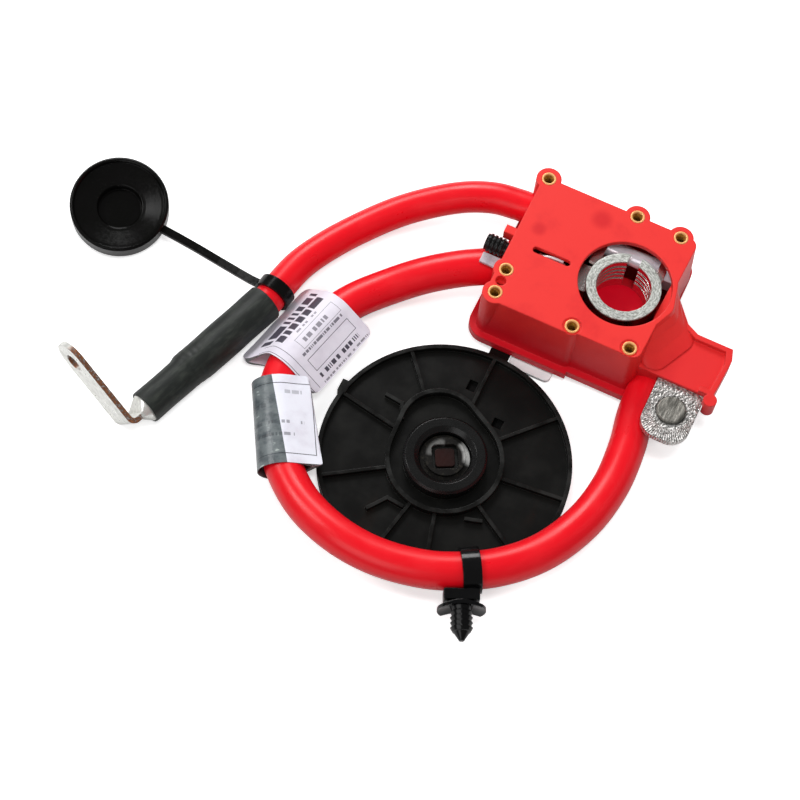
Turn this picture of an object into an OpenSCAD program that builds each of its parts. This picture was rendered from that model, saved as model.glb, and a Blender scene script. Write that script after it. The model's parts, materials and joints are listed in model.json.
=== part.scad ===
// Positive battery cable of a car: a red moulded terminal housing with a post clamp,
// a loop cable and a branch cable, a ribbed black cover plate, a capped ring lug,
// paper labels and a cable tie with a push-in anchor.
// Frame: Z points out of the clamp's mouth, the clamp's axis is X = Y = 0, and Z = 0 is
// the surface that the housing lies on. X runs along the housing's long edge.

/* [Housing] */
// Height of the housing over the surface
housing_h = 27; // [26:0.25:30]
// Clamp axis to the left wall's top edge
housing_left = 40.4; // [40:0.1:42]
// Clamp axis to the right wall's top edge
housing_right = 16.1; // [15.8:0.1:17]
// Clamp axis to the front wall's top edge
housing_front = 24.2; // [24:0.1:26]
// Clamp axis to the back wall's top edge
housing_back = 27; // [26.5:0.1:28]
// How far the front wall steps back on its right part
front_step = 1.2; // [0.4:0.1:1.6]
// X of that step
front_step_x = -6.5; // [-12:0.5:-4]
// How far the right wall leans in at its front end
right_lean = 1.5; // [0:0.1:3]
// Radius of the upright corners at the top
corner_r = 3; // [2:0.25:4]
// Wall thickness
wall_t = 2; // [1.6:0.1:2.4]
// Thickness of the top plate
top_t = 1.8; // [1.5:0.1:2]
// How far each wall leans out on its way down
draft = 1.4; // [0.5:0.1:2]

/* [Flange and foot] */
// How far the flange stands out of the wall's foot
flange_out = 2.2; // [1.2:0.1:3]
// Thickness of the cover's flange
cover_flange_t = 1.8; // [1.2:0.1:2.4]
// Thickness of the base plate
base_plate_t = 1.6; // [1.2:0.1:2]
// Height of the foot below the base plate
foot_h = 2.6; // [2.2:0.1:3.2]
// How far the foot stays inside the flange's edge
foot_inset = 5; // [4:0.25:7]

/* [Post clamp] */
// Bore for the battery post
post_bore_d = 18.5; // [17.5:0.1:19.5]
// Wall of the clamp ring
clamp_wall = 3.25; // [2.5:0.05:3.5]
// Height of the clamp ring
clamp_h = 16; // [13:0.5:17]
// Width of the slit in the ring
clamp_slit = 4; // [2:0.25:5]
// Number of grooves in the bore
groove_count = 4; // [2:1:5]
// Width of one groove
groove_w = 1.2; // [0.6:0.1:1.4]
// Depth of one groove
groove_depth = 0.5; // [0.2:0.05:0.8]
// Distance from one groove to the next
groove_pitch = 2.5; // [2:0.1:2.6]
// Gap between the ring and the edge of the window around it
window_gap = 3.3; // [2:0.1:3.6]
// Diameter of the clamp bolt
bolt_d = 6; // [5:0.5:6]
// Depth of the bolt's axis below the top face
bolt_depth = 8; // [7.8:0.1:9]
// Gap between the ring and the bolt
bolt_gap = 0.6; // [0.4:0.1:1.6]
// Width across the flats of the bolt's head and nut
hex_af = 10; // [9:0.25:10]
// Height of the bolt's head
bolt_head_h = 4; // [3:0.25:4.5]
// Height of the nut
clamp_nut_h = 3.2; // [2.5:0.1:3.4]
// Clamp axis to the inner face of the left ear
left_ear_x = 11; // [10.6:0.1:11.2]
// Clamp axis to the inner face of the right ear
right_ear_x = 7.5; // [7:0.1:7.8]
// Thickness of the left ear
left_ear_t = 3.5; // [2.5:0.25:4]
// Thickness of the right ear
right_ear_t = 3; // [2:0.25:3.2]

/* [Brass sleeves] */
// Outer diameter of a sleeve
sleeve_d = 4.9; // [4:0.1:5.2]
// Hole through a sleeve
sleeve_hole_d = 2.9; // [2:0.1:3.2]
// Length of a sleeve
sleeve_len = 6.5; // [5:0.25:7]
// How far a sleeve stands out of the top face
sleeve_proud = 0.25; // [0:0.05:0.5]
// Diameter of the boss around a sleeve
boss_d = 8.6; // [7.6:0.1:9]
// Floor of the boss under the sleeve
boss_floor = 0.8; // [0.5:0.1:1]

/* [Top openings] */
// How far the window's middle lies behind the clamp's axis
window_shift = 1.2; // [0.6:0.1:1.6]
// Length of the inspection slot
slot_len = 13.5; // [10:0.5:15]
// Width of the inspection slot
slot_w = 2.3; // [1.6:0.1:3]
// X of the slot's middle
slot_x = -25.9; // [-27:0.1:-24]
// Diameter of the small drain hole
drain_d = 3.6; // [1.5:0.1:3.8]

/* [Side guard] */
// Top of the guard's rim below the top face
guard_drop = 6.6; // [6:0.1:9]
// Depth of the tray inside the rim
guard_recess = 1.6; // [1:0.1:1.8]
// Thickness of the tray's floor
guard_floor_t = 1.3; // [1:0.1:1.8]
// Height of the guard's skirt, rim to lower edge
guard_skirt = 8.9; // [7.4:0.1:9.4]
// Clamp axis to the guard's right edge
guard_right = 42.2; // [41.5:0.1:44]
// Clamp axis to the guard's back edge, towards the front
guard_back = 1.8; // [0:0.1:2.5]
// Clamp axis to the guard's front edge
guard_front = 20.8; // [20.4:0.1:22]
// Width of the rim around the tray
guard_rim = 1.8; // [1.2:0.1:2.4]
// Diameter of the knob at the guard's corner
guard_knob_d = 4.6; // [3:0.1:5]

/* [Terminal lug] */
// Width of the lug
lug_w = 16.6; // [14:0.2:16.8]
// Thickness of the lug
lug_t = 2.5; // [2:0.1:2.7]
// Clamp axis to the middle of the lug
lug_x = 30.7; // [30.6:0.1:31]
// Clamp axis to the tip of the lug
lug_tip = 41.1; // [38:0.2:44]
// Diameter of the stud's pressed head
stud_head_d = 9.8; // [8.8:0.1:11]
// Height of the stud's pressed head
stud_head_h = 1; // [0.4:0.1:1.6]
// Diameter of the stud
stud_d = 8; // [6:0.5:8.5]
// Length of the stud below the lug
stud_len = 12; // [8:0.5:13]
// Stud's centre to the tip of the lug
stud_from_tip = 11; // [9:0.25:13]

/* [Cables] */
// Outer diameter of the loop cable
loop_d = 12.4; // [11:0.1:12.6]
// Outer diameter of the branch cable
branch_d = 10.8; // [9:0.1:11]
// Thickness of the socket wall around the loop cable's end
socket_wall = 1.1; // [0.8:0.05:1.15]

/* [Branch lug and sleeve] */
// Length of the heat-shrink sleeve
shrink_len = 55.6; // [50:0.2:56]
// Diameter of the sleeve over the cable
shrink_wide_d = 13.4; // [12.8:0.1:13.6]
// Diameter of the sleeve over the lug's barrel
shrink_narrow_d = 12; // [11.4:0.1:12.4]
// Where the sleeve steps down, from its cable end
shrink_step = 32; // [30:0.5:38]
// Width of the angle lug's strip
angle_lug_w = 14; // [12:0.2:14]
// Thickness of the angle lug's strip
angle_lug_t = 1.8; // [1.6:0.1:2.2]
// Length of the lug's palm from the bend to the tip
angle_lug_palm = 34; // [28:0.5:38]
// Hole for the stud in the palm
angle_lug_hole_d = 6.4; // [6.4:0.1:8.4]
// Hole's centre to the palm's tip
angle_lug_hole_from_tip = 7.6; // [6.8:0.1:9]
// How far the palm is rolled up from the horizontal
angle_lug_roll = 31; // [25:0.5:33]

/* [Terminal cap] */
// Outer diameter of the cap
cap_d = 33.5; // [30:0.5:35]
// Height of the cap
cap_h = 7.5; // [6.5:0.1:9]
// Wall of the cap
cap_wall = 1.5; // [1.2:0.1:2.5]
// Diameter of the socket in the cap's middle
cap_socket_d = 14.6; // [12:0.2:16]
// Depth of the annular recess
cap_recess = 3; // [2:0.1:3.4]
// Thickness of the cap's crown under the socket
cap_crown_t = 1.4; // [1:0.1:2]
// Tilt of the cap towards the front
cap_tilt = 12; // [8:0.5:15]
// Width of the tether
tether_w = 2.8; // [2.4:0.1:4.5]
// Thickness of the tether
tether_t = 1.3; // [0.9:0.1:1.6]
// Thickness of the tether's ring around the cable
tether_ring_t = 1.1; // [0.8:0.05:1.15]
// Width of the tether's ring along the cable
tether_ring_w = 4.4; // [3:0.1:5]

/* [Cover plate] */
// Diameter of the plate
plate_d = 84; // [80:0.5:85]
// Height of the plate's rim
plate_rim_h = 4.4; // [3.6:0.1:4.4]
// Thickness of the rim
plate_rim_t = 1.4; // [1:0.1:2]
// Thickness of the web
plate_web_t = 1.6; // [1.2:0.1:2]
// Height of the web's underside over the surface
plate_web_z = 0.8; // [0.5:0.1:1]
// Thickness of a rib
plate_rib_t = 1.2; // [0.8:0.1:1.6]
// Diameter of the raised contour around the hub
contour_d = 39.2; // [37:0.2:40]
// Width of the raised contour
contour_t = 1.5; // [1:0.1:2]
// Height of the raised contour
contour_h = 5.2; // [4.6:0.1:5.6]
// Diameter of the hub seat
hub_seat_d = 27; // [24:0.5:28]
// Outer diameter of the collar
collar_d = 27.7; // [26:0.1:29]
// Inner diameter of the collar
collar_hole_d = 17.4; // [16.5:0.1:18]
// Height of the collar's top over the surface
collar_top = 8; // [7.6:0.1:9]
// Width of the arm under the housing's flange
arm_w = 6.8; // [5:0.1:7.4]
// Thickness of that arm
arm_t = 2; // [1.4:0.1:2]
// Clamp axis to the arm's middle
arm_x = -29.7; // [-31:0.1:-29.6]

/* [Flange tongue] */
// Width of the tongue
tongue_w = 15; // [12:0.2:15]
// Thickness of the tongue
tongue_t = 1.2; // [0.8:0.1:1.5]
// Clamp axis to the tongue's middle
tongue_x = -18.3; // [-18.3:0.1:-16]

/* [Hub contact] */
// Diameter of the contact's flange
contact_d = 16.6; // [15:0.1:16.8]
// Thickness of the contact's flange
contact_flange_t = 0.8; // [0.5:0.1:1]
// Diameter of the contact's body
contact_body_d = 13.6; // [12.6:0.1:14]
// Width of the square hole
contact_square = 8.6; // [7:0.1:9]

/* [Cable tie] */
// Width of the tie's band
tie_w = 6; // [4:0.2:7]
// Thickness of the tie's band
tie_t = 1.2; // [0.8:0.05:1.25]
// Width of the tie's head along the cable
tie_head_w = 11.4; // [8:0.2:12]
// Shift of the head along the cable
tie_head_shift = 2.8; // [0:0.1:3.5]
// Width of the anchor's umbrella
umbrella_w = 15.5; // [12:0.5:17]
// Length of the tie's locking head
tie_head_h = 3; // [2.6:0.1:5]
// Height of the anchor's umbrella
umbrella_h = 9; // [7:0.5:11]
// Diameter over the anchor's barbs
barb_d = 7.2; // [6.6:0.1:8]
// Diameter of the anchor's core
barb_core_d = 5.8; // [4:0.1:6.2]
// Number of barbs
barb_count = 5; // [3:1:6]
// Distance from one barb to the next
barb_pitch = 1.7; // [1.4:0.1:2]

/* [Side plug] */
// Diameter over the plug's ribs
plug_d = 6.4; // [5.6:0.1:6.4]
// How far the plug stands out of the wall
plug_out = 6.6; // [5:0.1:8]
// Number of ribs on the plug
plug_ribs = 4; // [3:1:5]

/* [Hidden] */

// Heights from the surface up
floor_z = foot_h + base_plate_t;
flange_top = floor_z + cover_flange_t;
top_z = housing_h;
roof_z = top_z - top_t;
clamp_z = top_z - clamp_h;
rim_z = top_z - guard_drop;
tray_z = rim_z - guard_recess;
skirt_z = rim_z - guard_skirt;
// Clearances between pieces: a sliding fit, a running fit and an open gap
slide = 0.1;
running = 0.05;
gap = 0.3;

// Plan of the housing at its top face
left_x = -housing_left;
right_x = housing_right;
front_y = -housing_front;
step_y = front_y + front_step;
back_y = housing_back;
// Plan of the flange
flange_grow = draft + flange_out;

// Post clamp
clamp_r = post_bore_d / 2 + clamp_wall;
window_r = clamp_r + window_gap;
bolt_z = top_z - bolt_depth;
bolt_y = clamp_r + bolt_gap + bolt_d / 2;
left_ear_outer = left_ear_x + left_ear_t;
right_ear_outer = right_ear_x + right_ear_t;
ear_top = bolt_z + bolt_d / 2 + 1.2;
ear_back = bolt_y + hex_af / 2 - gap;
ear_root = 6;
slit_x = -0.35;

// Slot in the top face
slot_y = -0.3;

// Brass sleeves, the outer ones in bosses that bulge out of the wall
outer_sleeves = [[-38.5, 26.7], [-6, 26.6], [10.1, 25.7], [-37.4, -11.6], [-37.3, -20.9]];
front_sleeves = [[-9.6, front_y + 3], [10.4, step_y + 2.8]];
front_seat_d = sleeve_d + 1.4;
front_seat_depth = 0.4;
boss_h = sleeve_len + boss_floor - sleeve_proud;

// Parts inside the housing
loop_barrel = 12;
branch_barrel = 8;
branch_tongue = 13;
link_r = 5.5;
link_y = 0.5;
link_z = 13;
link_left = -31.5;
link_right = -clamp_r - 7.5;
neck_w = 10;
neck_h = 10;
bar_t = 2;
bar_w = 8;
branch_y = 21.5;
branch_tongue_x = -27;
crimp_wall = 1.2;
branch_crimp_r = branch_d / 2 - 2.2;

// Outlets in the left wall
loop_out = [-41.5, -3.5, 12.3];
loop_out_turn = 205;
loop_inside = 5;
branch_out = [-41.5, 21.2, 13.3];
branch_out_turn = 186;

// Side plug and its clip
plug_y = -1.9;
plug_z = top_z - 5.2;
clip_w = 3.9;
clip_y = -8.9;
clip_z = top_z - 7.8;
clip_out = 7.4;

// Loop cable's end below the guard
loop_end = [20, -17, 8.3];
loop_end_r = loop_d / 2 + slide;
socket_r = loop_end_r + socket_wall;
socket_front = -guard_front - 0.6;

// Terminal lug
lug_z = tray_z - guard_floor_t - slide;
lug_back = -12;
lug_left = lug_x - lug_w / 2;
stud_y = -lug_tip + stud_from_tip;

// Cover plate
plate_at = [-30, -73];
plate_r = plate_d / 2;
rib_angles = [6, 48, 90, 130, 170, 214, 259, 285, 329];
contour_shift = [-6, 9.5];
arm_z = 0.4;
tongue_z = 0.6;
tongue_front = -31;
slot_back = front_y - draft + foot_inset + 2;
contour_small = 0.72;
web_top = plate_web_z + plate_web_t;
seat_top = collar_top - 3;
boss_top = seat_top - 0.8;

// Branch cable's sleeve and lug
shrink_from = [-107.5, -48.5, 6.7];
shrink_turn = 251.3;
shrink_cable_in = 30;
barrel_r = 5.2;
lug_leg = 9;
lug_bend_r = 3;

// Terminal cap and tether
cap_at = [-168.5, -37.5];
cap_lift = 0.2;
cap_low_turn = -60;
tether_route = [[-154, -38.2, 5.4], [-146, -38.5, 4.6], [-137.8, -39.1, 4], [-129.3, -40.2, 4],
                [-121, -41.6, 4.8], [-116, -42.6, 5.8], [-112.4, -43.1, 6.6]];

// Routes of the cables, from the left wall of the housing
loop_route = [[-45.6, -5.5, 12.3], [-53.8, -10.2, 11.6], [-63.6, -16.9, 9.8], [-72.7, -25, 7.8],
              [-81, -34.8, 7.1], [-86.8, -46, 7], [-90.3, -57.5, 7], [-90.8, -69.5, 7],
              [-88, -81, 7], [-82, -92, 7], [-74.4, -101, 7.4], [-63.4, -109.8, 9.8],
              [-50.3, -115.2, 11.8], [-37, -116.8, 12.2], [-24, -115.3, 12.4], [-12, -111.3, 12.4],
              [1.6, -103, 12], [12.5, -91.2, 11], [19.8, -75.6, 9.4], [22.8, -59.5, 8.2],
              [22.4, -44.5, 7.8], [20.6, -33.5, 8.1], [20, -25.5, 8.3]];
branch_route = [[-46, 20.9, 13.2], [-54, 19.7, 13], [-63, 16.3, 12], [-72.5, 10.8, 9.8],
                [-82, 3, 7.8], [-90.5, -7, 6.6], [-98, -18.5, 6.4], [-103.4, -30, 6.6],
                [-106, -41, 6.7], shrink_from];
loop_path = concat([ahead(loop_out, loop_out_turn, -loop_inside), loop_out], loop_route, [loop_end]);
branch_path = concat([ahead(branch_out, branch_out_turn, -4), branch_out], branch_route,
                     [ahead(shrink_from, shrink_turn, 12), ahead(shrink_from, shrink_turn, shrink_cable_in)]);

// Places along the routes, counted in their points
ring_place = 10.34;
ring_at = along(branch_path, ring_place);
ring_turn = level_turn(along(branch_path, ring_place + 0.1) - ring_at);
tie_place = 17.45;
tie_at = along(loop_path, tie_place);
tie_turn = level_turn(along(loop_path, tie_place + 0.1) - tie_at);
tie_lean = 6;
tie_band_in = loop_d / 2 + 0.2;
tie_head_in = tie_band_in + tie_t - 0.6;
barb_shank = 1.6;
barb_tip = 2.8;

// Paper labels: slack beside the cable, which bends where the paper is straight, and above it
label_t = 0.3;
label_slack = 1.4;
label_rise = 0.4;
label_bond = 3.5;
wrap_places = [6.6, 8.55];
wrap_edges = [[-14.4, -4.7], [15, -0.4]];
fold_places = [9.35, 11.7];
fold_edges = [[14.2, 2.6]];

// Point at a distance along a heading in the plan
function ahead(from, turn, distance) = from + distance * [cos(turn), sin(turn), 0];
function unit(v) = v / norm(v);
function level_turn(v) = atan2(v[1], v[0]);

// Smooth point of a route at a position counted in its points
function blend(a, b, c, d, t) =
    0.5 * (2 * b + (c - a) * t + (2 * a - 5 * b + 4 * c - d) * t * t + (3 * b - a - 3 * c + d) * t * t * t);
function along(route, s) =
    let (n = len(route) - 1, i = min(floor(s), n - 1))
    blend(route[max(i - 1, 0)], route[i], route[i + 1], route[min(i + 2, n)], s - i);

// Solid of a section carried along a route; the section's first axis is level
module sweep(route, section) {
    n = len(section);
    last = len(route) - 1;
    points = [for (i = [0:last])
        let (t = unit(route[min(i + 1, last)] - route[max(i - 1, 0)]),
             side = unit(cross(t, [0, 0, 1])), up = cross(side, t))
        for (q = section) route[i] + q[0] * side + q[1] * up];
    walls = [for (i = [0:last - 1], k = [0:n - 1])
        let (a = i * n + k, b = i * n + (k + 1) % n)
        each [[a, b, b + n], [a, b + n, a + n]]];
    polyhedron(points, concat([[for (k = [n - 1:-1:0]) k]], walls, [[for (k = [0:n - 1]) last * n + k]]));
}

function ring_section(r, sides = 12) = [for (k = [0:sides - 1]) r * [cos(k * 360 / sides),
    sin(k * 360 / sides)]];
function strip_section(from, to, t) = let (n = [from[1] - to[1], to[0] - from[0]] * t / 2 / norm(to - from))
    [from - n, to - n, to + n, from + n];

// Rectangle with round corners, from one corner to the other
module rounded_plan(low, high, r) {
    translate(low + [r, 0]) square([high[0] - low[0] - 2 * r, high[1] - low[1]]);
    translate(low + [0, r]) square([high[0] - low[0], high[1] - low[1] - 2 * r]);
    for (x = [low[0] + r, high[0] - r], y = [low[1] + r, high[1] - r]) translate([x, y]) circle(r, $fn = 48);
}

// Plan of the housing's outline, grown outwards, with the front wall's step
module housing_plan(grow, right_grow) {
    rounded_plan([left_x - grow, front_y - grow], [front_step_x, back_y + grow], corner_r + grow);
    translate([front_step_x - 2 * corner_r - 2 * grow, front_y - grow])
        square([2 * corner_r + 2 * grow, corner_r + grow]);
    rounded_plan([left_x - grow + 1, step_y - grow], [right_x + right_grow, back_y + grow],
        corner_r + right_grow);
}

// Drafted block of the housing between four corners, leaning out downwards
module drafted_block(corners, z, h, r, lean) {
    hull() for (c = corners) translate([c[0], c[1], z]) cylinder(h = h, r1 = r + lean, r2 = r, $fn = 32);
}

module along_x(from, to, y, z, r, sides = 48) {
    translate([from, y, z]) rotate([0, 90, 0]) cylinder(h = to - from, r = r, $fn = sides);
}

// Straight rod from a point along a heading
module rod(from, turn, length, r) {
    translate(from) rotate([0, 0, turn]) rotate([0, 90, 0]) cylinder(h = length, r = r, $fn = 48);
}

// Straight wall between two points of the plan
module wall_between(a, b, t, h) {
    translate(a) rotate([0, 0, atan2(b[1] - a[1], b[0] - a[0])]) translate([-t / 2, -t / 2, 0])
        cube([norm(b - a) + t, t, h]);
}

// Outer form of the housing: two drafted blocks that make the step in the front wall
module cover_outside() {
    wall_h = top_z - floor_z;
    r = corner_r;
    drafted_block([[left_x + r, front_y + r], [front_step_x - r, front_y + r],
                   [front_step_x - r, back_y - r], [left_x + r, back_y - r]], floor_z, wall_h, r, draft);
    drafted_block([[front_step_x - 3 * r, step_y + r], [right_x - right_lean - r, step_y + r],
                   [right_x - r, back_y - r], [front_step_x - 3 * r, back_y - r]], floor_z, wall_h, r, draft);
    for (p = outer_sleeves) translate([p[0], p[1], flange_top])
        cylinder(h = top_z - flange_top, d = boss_d, $fn = 48);
}

// Space inside the walls, less the bosses of the brass sleeves
module cover_inside() {
    r = corner_r;
    difference() {
        drafted_block([[left_x + wall_t + r, step_y + wall_t + r], [right_x - right_lean - wall_t - r,
            step_y + wall_t + r],
                       [right_x - wall_t - r, back_y - wall_t - r], [left_x + wall_t + r,
                           back_y - wall_t - r]],
                      floor_z - 1, roof_z - floor_z + 1, r, draft);
        for (p = concat(outer_sleeves, front_sleeves))
            translate([p[0], p[1], top_z - boss_h]) cylinder(h = boss_h, d = boss_d, $fn = 48);
    }
}

// Shoulder beside the window that flares out to the tray, wider and wider on its way down
module guard_tower() {
    high = [[12, 7.4, 4.1], [13.6, -0.5, 4.3], [10.6, -8, 4.1]];
    low = [[17, 2, 4.8], [23, -5.5, 5], [18.5, -15, 5]];
    stages = 4;
    slice = 0.4;
    for (k = [0:stages - 1]) hull() for (s = [k / stages, (k + 1) / stages], i = [0:2])
        let (p = high[i] + (low[i] - high[i]) * s * s)
        translate([p[0], p[1], top_z - slice - s * (top_z - tray_z - slice)])
            cylinder(h = slice, r = p[2], $fn = 32);
}

// Plan of the guard, with its knob at the front corner
module guard_plan(inset) {
    back = -guard_back;
    front = -guard_front;
    polygon([[13, front + inset], [13, 1 - inset], [21, 3 - inset], [23.6, 0.6 - inset], [28.5, back - inset],
             [guard_right - 1.2 - inset, back - inset], [guard_right - inset, back - 4 - inset],
             [guard_right - 0.6 - inset, -16.5], [guard_right - 1 - inset, front + inset]]);
}

module side_guard() {
    difference() {
        translate([0, 0, skirt_z]) linear_extrude(rim_z - skirt_z) guard_plan(0);
        translate([0, 0, tray_z]) linear_extrude(guard_recess + 1) guard_plan(guard_rim);
        translate([0, 0, skirt_z - 1]) linear_extrude(tray_z - guard_floor_t - skirt_z + 1) guard_plan(wall_t);
        translate([14, -guard_front - 1, rim_z - guard_recess])
            cube([guard_right - 20, guard_rim + 1.6, guard_recess + 1]);
    }
    translate([guard_right - guard_knob_d / 2 + 1, -guard_front - 1.6, skirt_z + 2])
        cylinder(h = rim_z - skirt_z - 2, d = guard_knob_d, $fn = 32);
}

module housing_cover() {
    color("red") difference() {
        union() {
            cover_outside();
            translate([0, 0, floor_z]) linear_extrude(cover_flange_t) housing_plan(flange_grow, draft);
            guard_tower();
            side_guard();
            translate([left_x - 3.9, 2.4, plug_z - 1]) cube([5, 3, 4.2]);
        }
        cover_inside();
        translate([0, window_shift, roof_z - 1]) cylinder(h = top_t + 2, r = window_r, $fn = 96);
        for (x = [slot_x - (slot_len - slot_w) / 2, slot_x + (slot_len - slot_w) / 2])
            translate([x, slot_y, roof_z - 1]) cylinder(h = top_t + 2, d = slot_w, $fn = 32);
        translate([slot_x - (slot_len - slot_w) / 2, slot_y - slot_w / 2, roof_z - 1])
            cube([slot_len - slot_w, slot_w, top_t + 2]);
        translate([left_x + 3.1, -16.2, roof_z - 1]) cylinder(h = top_t + 2, d = drain_d, $fn = 24);
        for (p = concat(outer_sleeves, front_sleeves))
            translate([p[0], p[1], top_z - sleeve_len + sleeve_proud])
                cylinder(h = sleeve_len, d = sleeve_d, $fn = 48);
        for (p = front_sleeves)
            translate([p[0], p[1], top_z - front_seat_depth]) cylinder(h = 2, d = front_seat_d, $fn = 48);
        rod(ahead(loop_out, loop_out_turn, -8), loop_out_turn, 20, loop_d / 2 + gap);
        rod(ahead(branch_out, branch_out_turn, -8), branch_out_turn, 20, branch_d / 2 + gap);
        along_x(left_x - 2, left_x + 4, plug_y, plug_z, plug_d / 2 - 0.8 + slide);
        translate([left_x - 2, clip_y - slide, clip_z - slide]) cube([6, clip_w + 2 * slide, 1 + 2 * slide]);
        // Room for the lug and for the end of the loop cable below it
        translate([lug_left - gap, -guard_front - 5, lug_z - lug_t - gap])
            cube([lug_w + 2 * gap, guard_front + 5 + lug_back + gap, lug_t + gap + slide]);
        translate([lug_left - gap, -guard_front - 5, skirt_z - 1])
            cube([lug_w + 2 * gap, 5 + wall_t + gap, lug_z - skirt_z]);
        translate(loop_end + [0, -12, 0]) rotate([-90, 0, 0])
            cylinder(h = 12 + gap, r = loop_end_r, $fn = 48);
        translate(loop_end) rotate([-90, 0, 0])
            cylinder(h = 8 + gap, r = loop_d / 2 - crimp_wall + slide, $fn = 48);
    }
}

// Foot, base plate, locating lip, pedestal of the clamp and the saddles that carry the inner parts
module housing_base() {
    color("firebrick") difference() {
        union() {
            linear_extrude(foot_h) housing_plan(flange_grow - foot_inset, -1);
            translate([0, 0, foot_h]) linear_extrude(base_plate_t) housing_plan(flange_grow, draft);
            translate([0, 0, clamp_z - (clamp_z - foot_h)])
                cylinder(h = clamp_z - foot_h, r = clamp_r, $fn = 96);
            for (x = [link_left + 1, link_right - 4])
                translate([x, link_y - 4, foot_h]) cube([3, 8, link_z - foot_h]);
            translate([branch_tongue_x, branch_y - bar_w / 2, foot_h])
                cube([bar_w, bar_w, clamp_z - bar_t - foot_h]);
            translate([-left_ear_outer - 1, bolt_y - 2, foot_h])
                cube([left_ear_t + 2, 7, clamp_z - bar_t - foot_h]);
            translate([right_x + draft + gap, socket_front, loop_end[2] - socket_r])
                cube([loop_end[0] + socket_r - right_x - draft - gap, -socket_front - 8,
                      skirt_z - gap - loop_end[2] + socket_r]);
            translate([right_x - 3, socket_front, foot_h])
                cube([loop_end[0] - right_x + 4, -socket_front - 8, base_plate_t]);
        }
        along_x(link_left - 1, link_right + 1, link_y, link_z, link_r);
        translate([arm_x - arm_w / 2 - slide, front_y - flange_grow - 1, arm_z - slide])
            cube([arm_w + 2 * slide, slot_back - front_y + flange_grow + 1, arm_t + 2 * slide]);
        translate([tongue_x - tongue_w / 2 - slide, front_y - flange_grow - 1, tongue_z - slide])
            cube([tongue_w + 2 * slide, slot_back - front_y + flange_grow + 1, tongue_t + 2 * slide]);
        translate(loop_end + [0, -12, 0]) rotate([-90, 0, 0])
            cylinder(h = 12 + gap, r = loop_end_r, $fn = 48);
        translate(loop_end) rotate([-90, 0, 0])
            cylinder(h = 12, r = loop_d / 2 - crimp_wall + slide, $fn = 48);
        translate([loop_end[0] - slide, loop_end[1], loop_end[2]])
            cube([loop_d / 2 - crimp_wall + 2 * slide, 12, 20]);
    }
}

module brass_sleeves() {
    color("goldenrod") for (p = concat(outer_sleeves, front_sleeves))
        translate([p[0], p[1], top_z + sleeve_proud - sleeve_len]) difference() {
            cylinder(h = sleeve_len, d = sleeve_d - slide, $fn = 48);
            translate([0, 0, -1]) cylinder(h = sleeve_len + 2, d = sleeve_hole_d, $fn = 48);
        }
}

module clamp_ring() {
    bore_r = post_bore_d / 2;
    hole_r = bolt_d / 2 + slide;
    first_groove = (clamp_h - (groove_count - 1) * groove_pitch) / 2 + 1;
    color("silver") difference() {
        union() {
            translate([0, 0, clamp_z]) cylinder(h = clamp_h, r = clamp_r, $fn = 96);
            translate([-left_ear_outer, ear_root, clamp_z])
                cube([left_ear_t, ear_back - ear_root, ear_top - clamp_z]);
            translate([right_ear_x, ear_root, clamp_z])
                cube([right_ear_t, ear_back - ear_root, ear_top - clamp_z]);
            translate([link_right, link_y - neck_w / 2, clamp_z])
                cube([-link_right - bore_r - 1, neck_w, neck_h]);
        }
        translate([0, 0, clamp_z - 1]) cylinder(h = clamp_h + 2, r = bore_r, $fn = 96);
        for (i = [0:groove_count - 1])
            translate([0, 0, clamp_z + first_groove + i * groove_pitch - groove_w / 2])
                cylinder(h = groove_w, r = bore_r + groove_depth, $fn = 96);
        translate([slit_x - clamp_slit / 2, bore_r / 2, clamp_z - 1])
            cube([clamp_slit, ear_back, clamp_h + 2]);
        along_x(-left_ear_outer - 1, right_ear_outer + 1, bolt_y, bolt_z, hole_r);
    }
}

module clamp_bolt() {
    bolt_end = right_ear_outer + clamp_nut_h + gap;
    color("gainsboro") {
        along_x(-left_ear_outer - 1, bolt_end, bolt_y, bolt_z, bolt_d / 2);
        along_x(-left_ear_outer - running - bolt_head_h, -left_ear_outer - running, bolt_y, bolt_z,
                hex_af / 2 / cos(30), 6);
    }
}

module clamp_nut() {
    color("silver") difference() {
        along_x(right_ear_outer, right_ear_outer + clamp_nut_h, bolt_y, bolt_z, hex_af / 2 / cos(30), 6);
        along_x(right_ear_outer - 1, right_ear_outer + clamp_nut_h + 1, bolt_y, bolt_z, bolt_d / 2 + running);
    }
}

// Link between the clamp's neck and the loop cable's crimp, with a waist and two collars
module link_sleeve() {
    tab_w = 9.4;
    tab_t = 1.2;
    color("lightgray") {
        along_x(link_left, link_right, link_y, link_z, link_r - 1);
        for (x = [link_left, link_left + 4.5, link_right - 3])
            along_x(x, x + 2.4, link_y, link_z, link_r - slide);
        // Upright tab below the slot
        translate([slot_x - tab_w / 2 + 0.4, slot_y - tab_t / 2, link_z])
            cube([tab_w, tab_t, roof_z - gap - link_z]);
    }
}

// Ribbed plug of the safety link, seated in the left wall
module side_plug() {
    core = plug_d / 2 - 0.4;
    pitch = plug_out / (plug_ribs + 0.5);
    color("black") translate([left_x - draft, plug_y, plug_z]) rotate([0, -90, 0]) rotate_extrude($fn = 48)
        polygon(concat([[0, -4.4], [core - 0.4, -4.4], [core - 0.4, 0], [core, 0]],
            [for (i = [0:plug_ribs - 1]) each [[core, (i + 0.3) * pitch], [plug_d / 2, (i + 0.4) * pitch],
                [plug_d / 2, (i + 0.85) * pitch], [core, (i + 0.95) * pitch]]],
            [[core, plug_out], [0, plug_out]]));
}

module plug_clip() {
    color("silver") translate([left_x - clip_out, clip_y, clip_z]) cube([clip_out + 3, clip_w, 1]);
}

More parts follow.
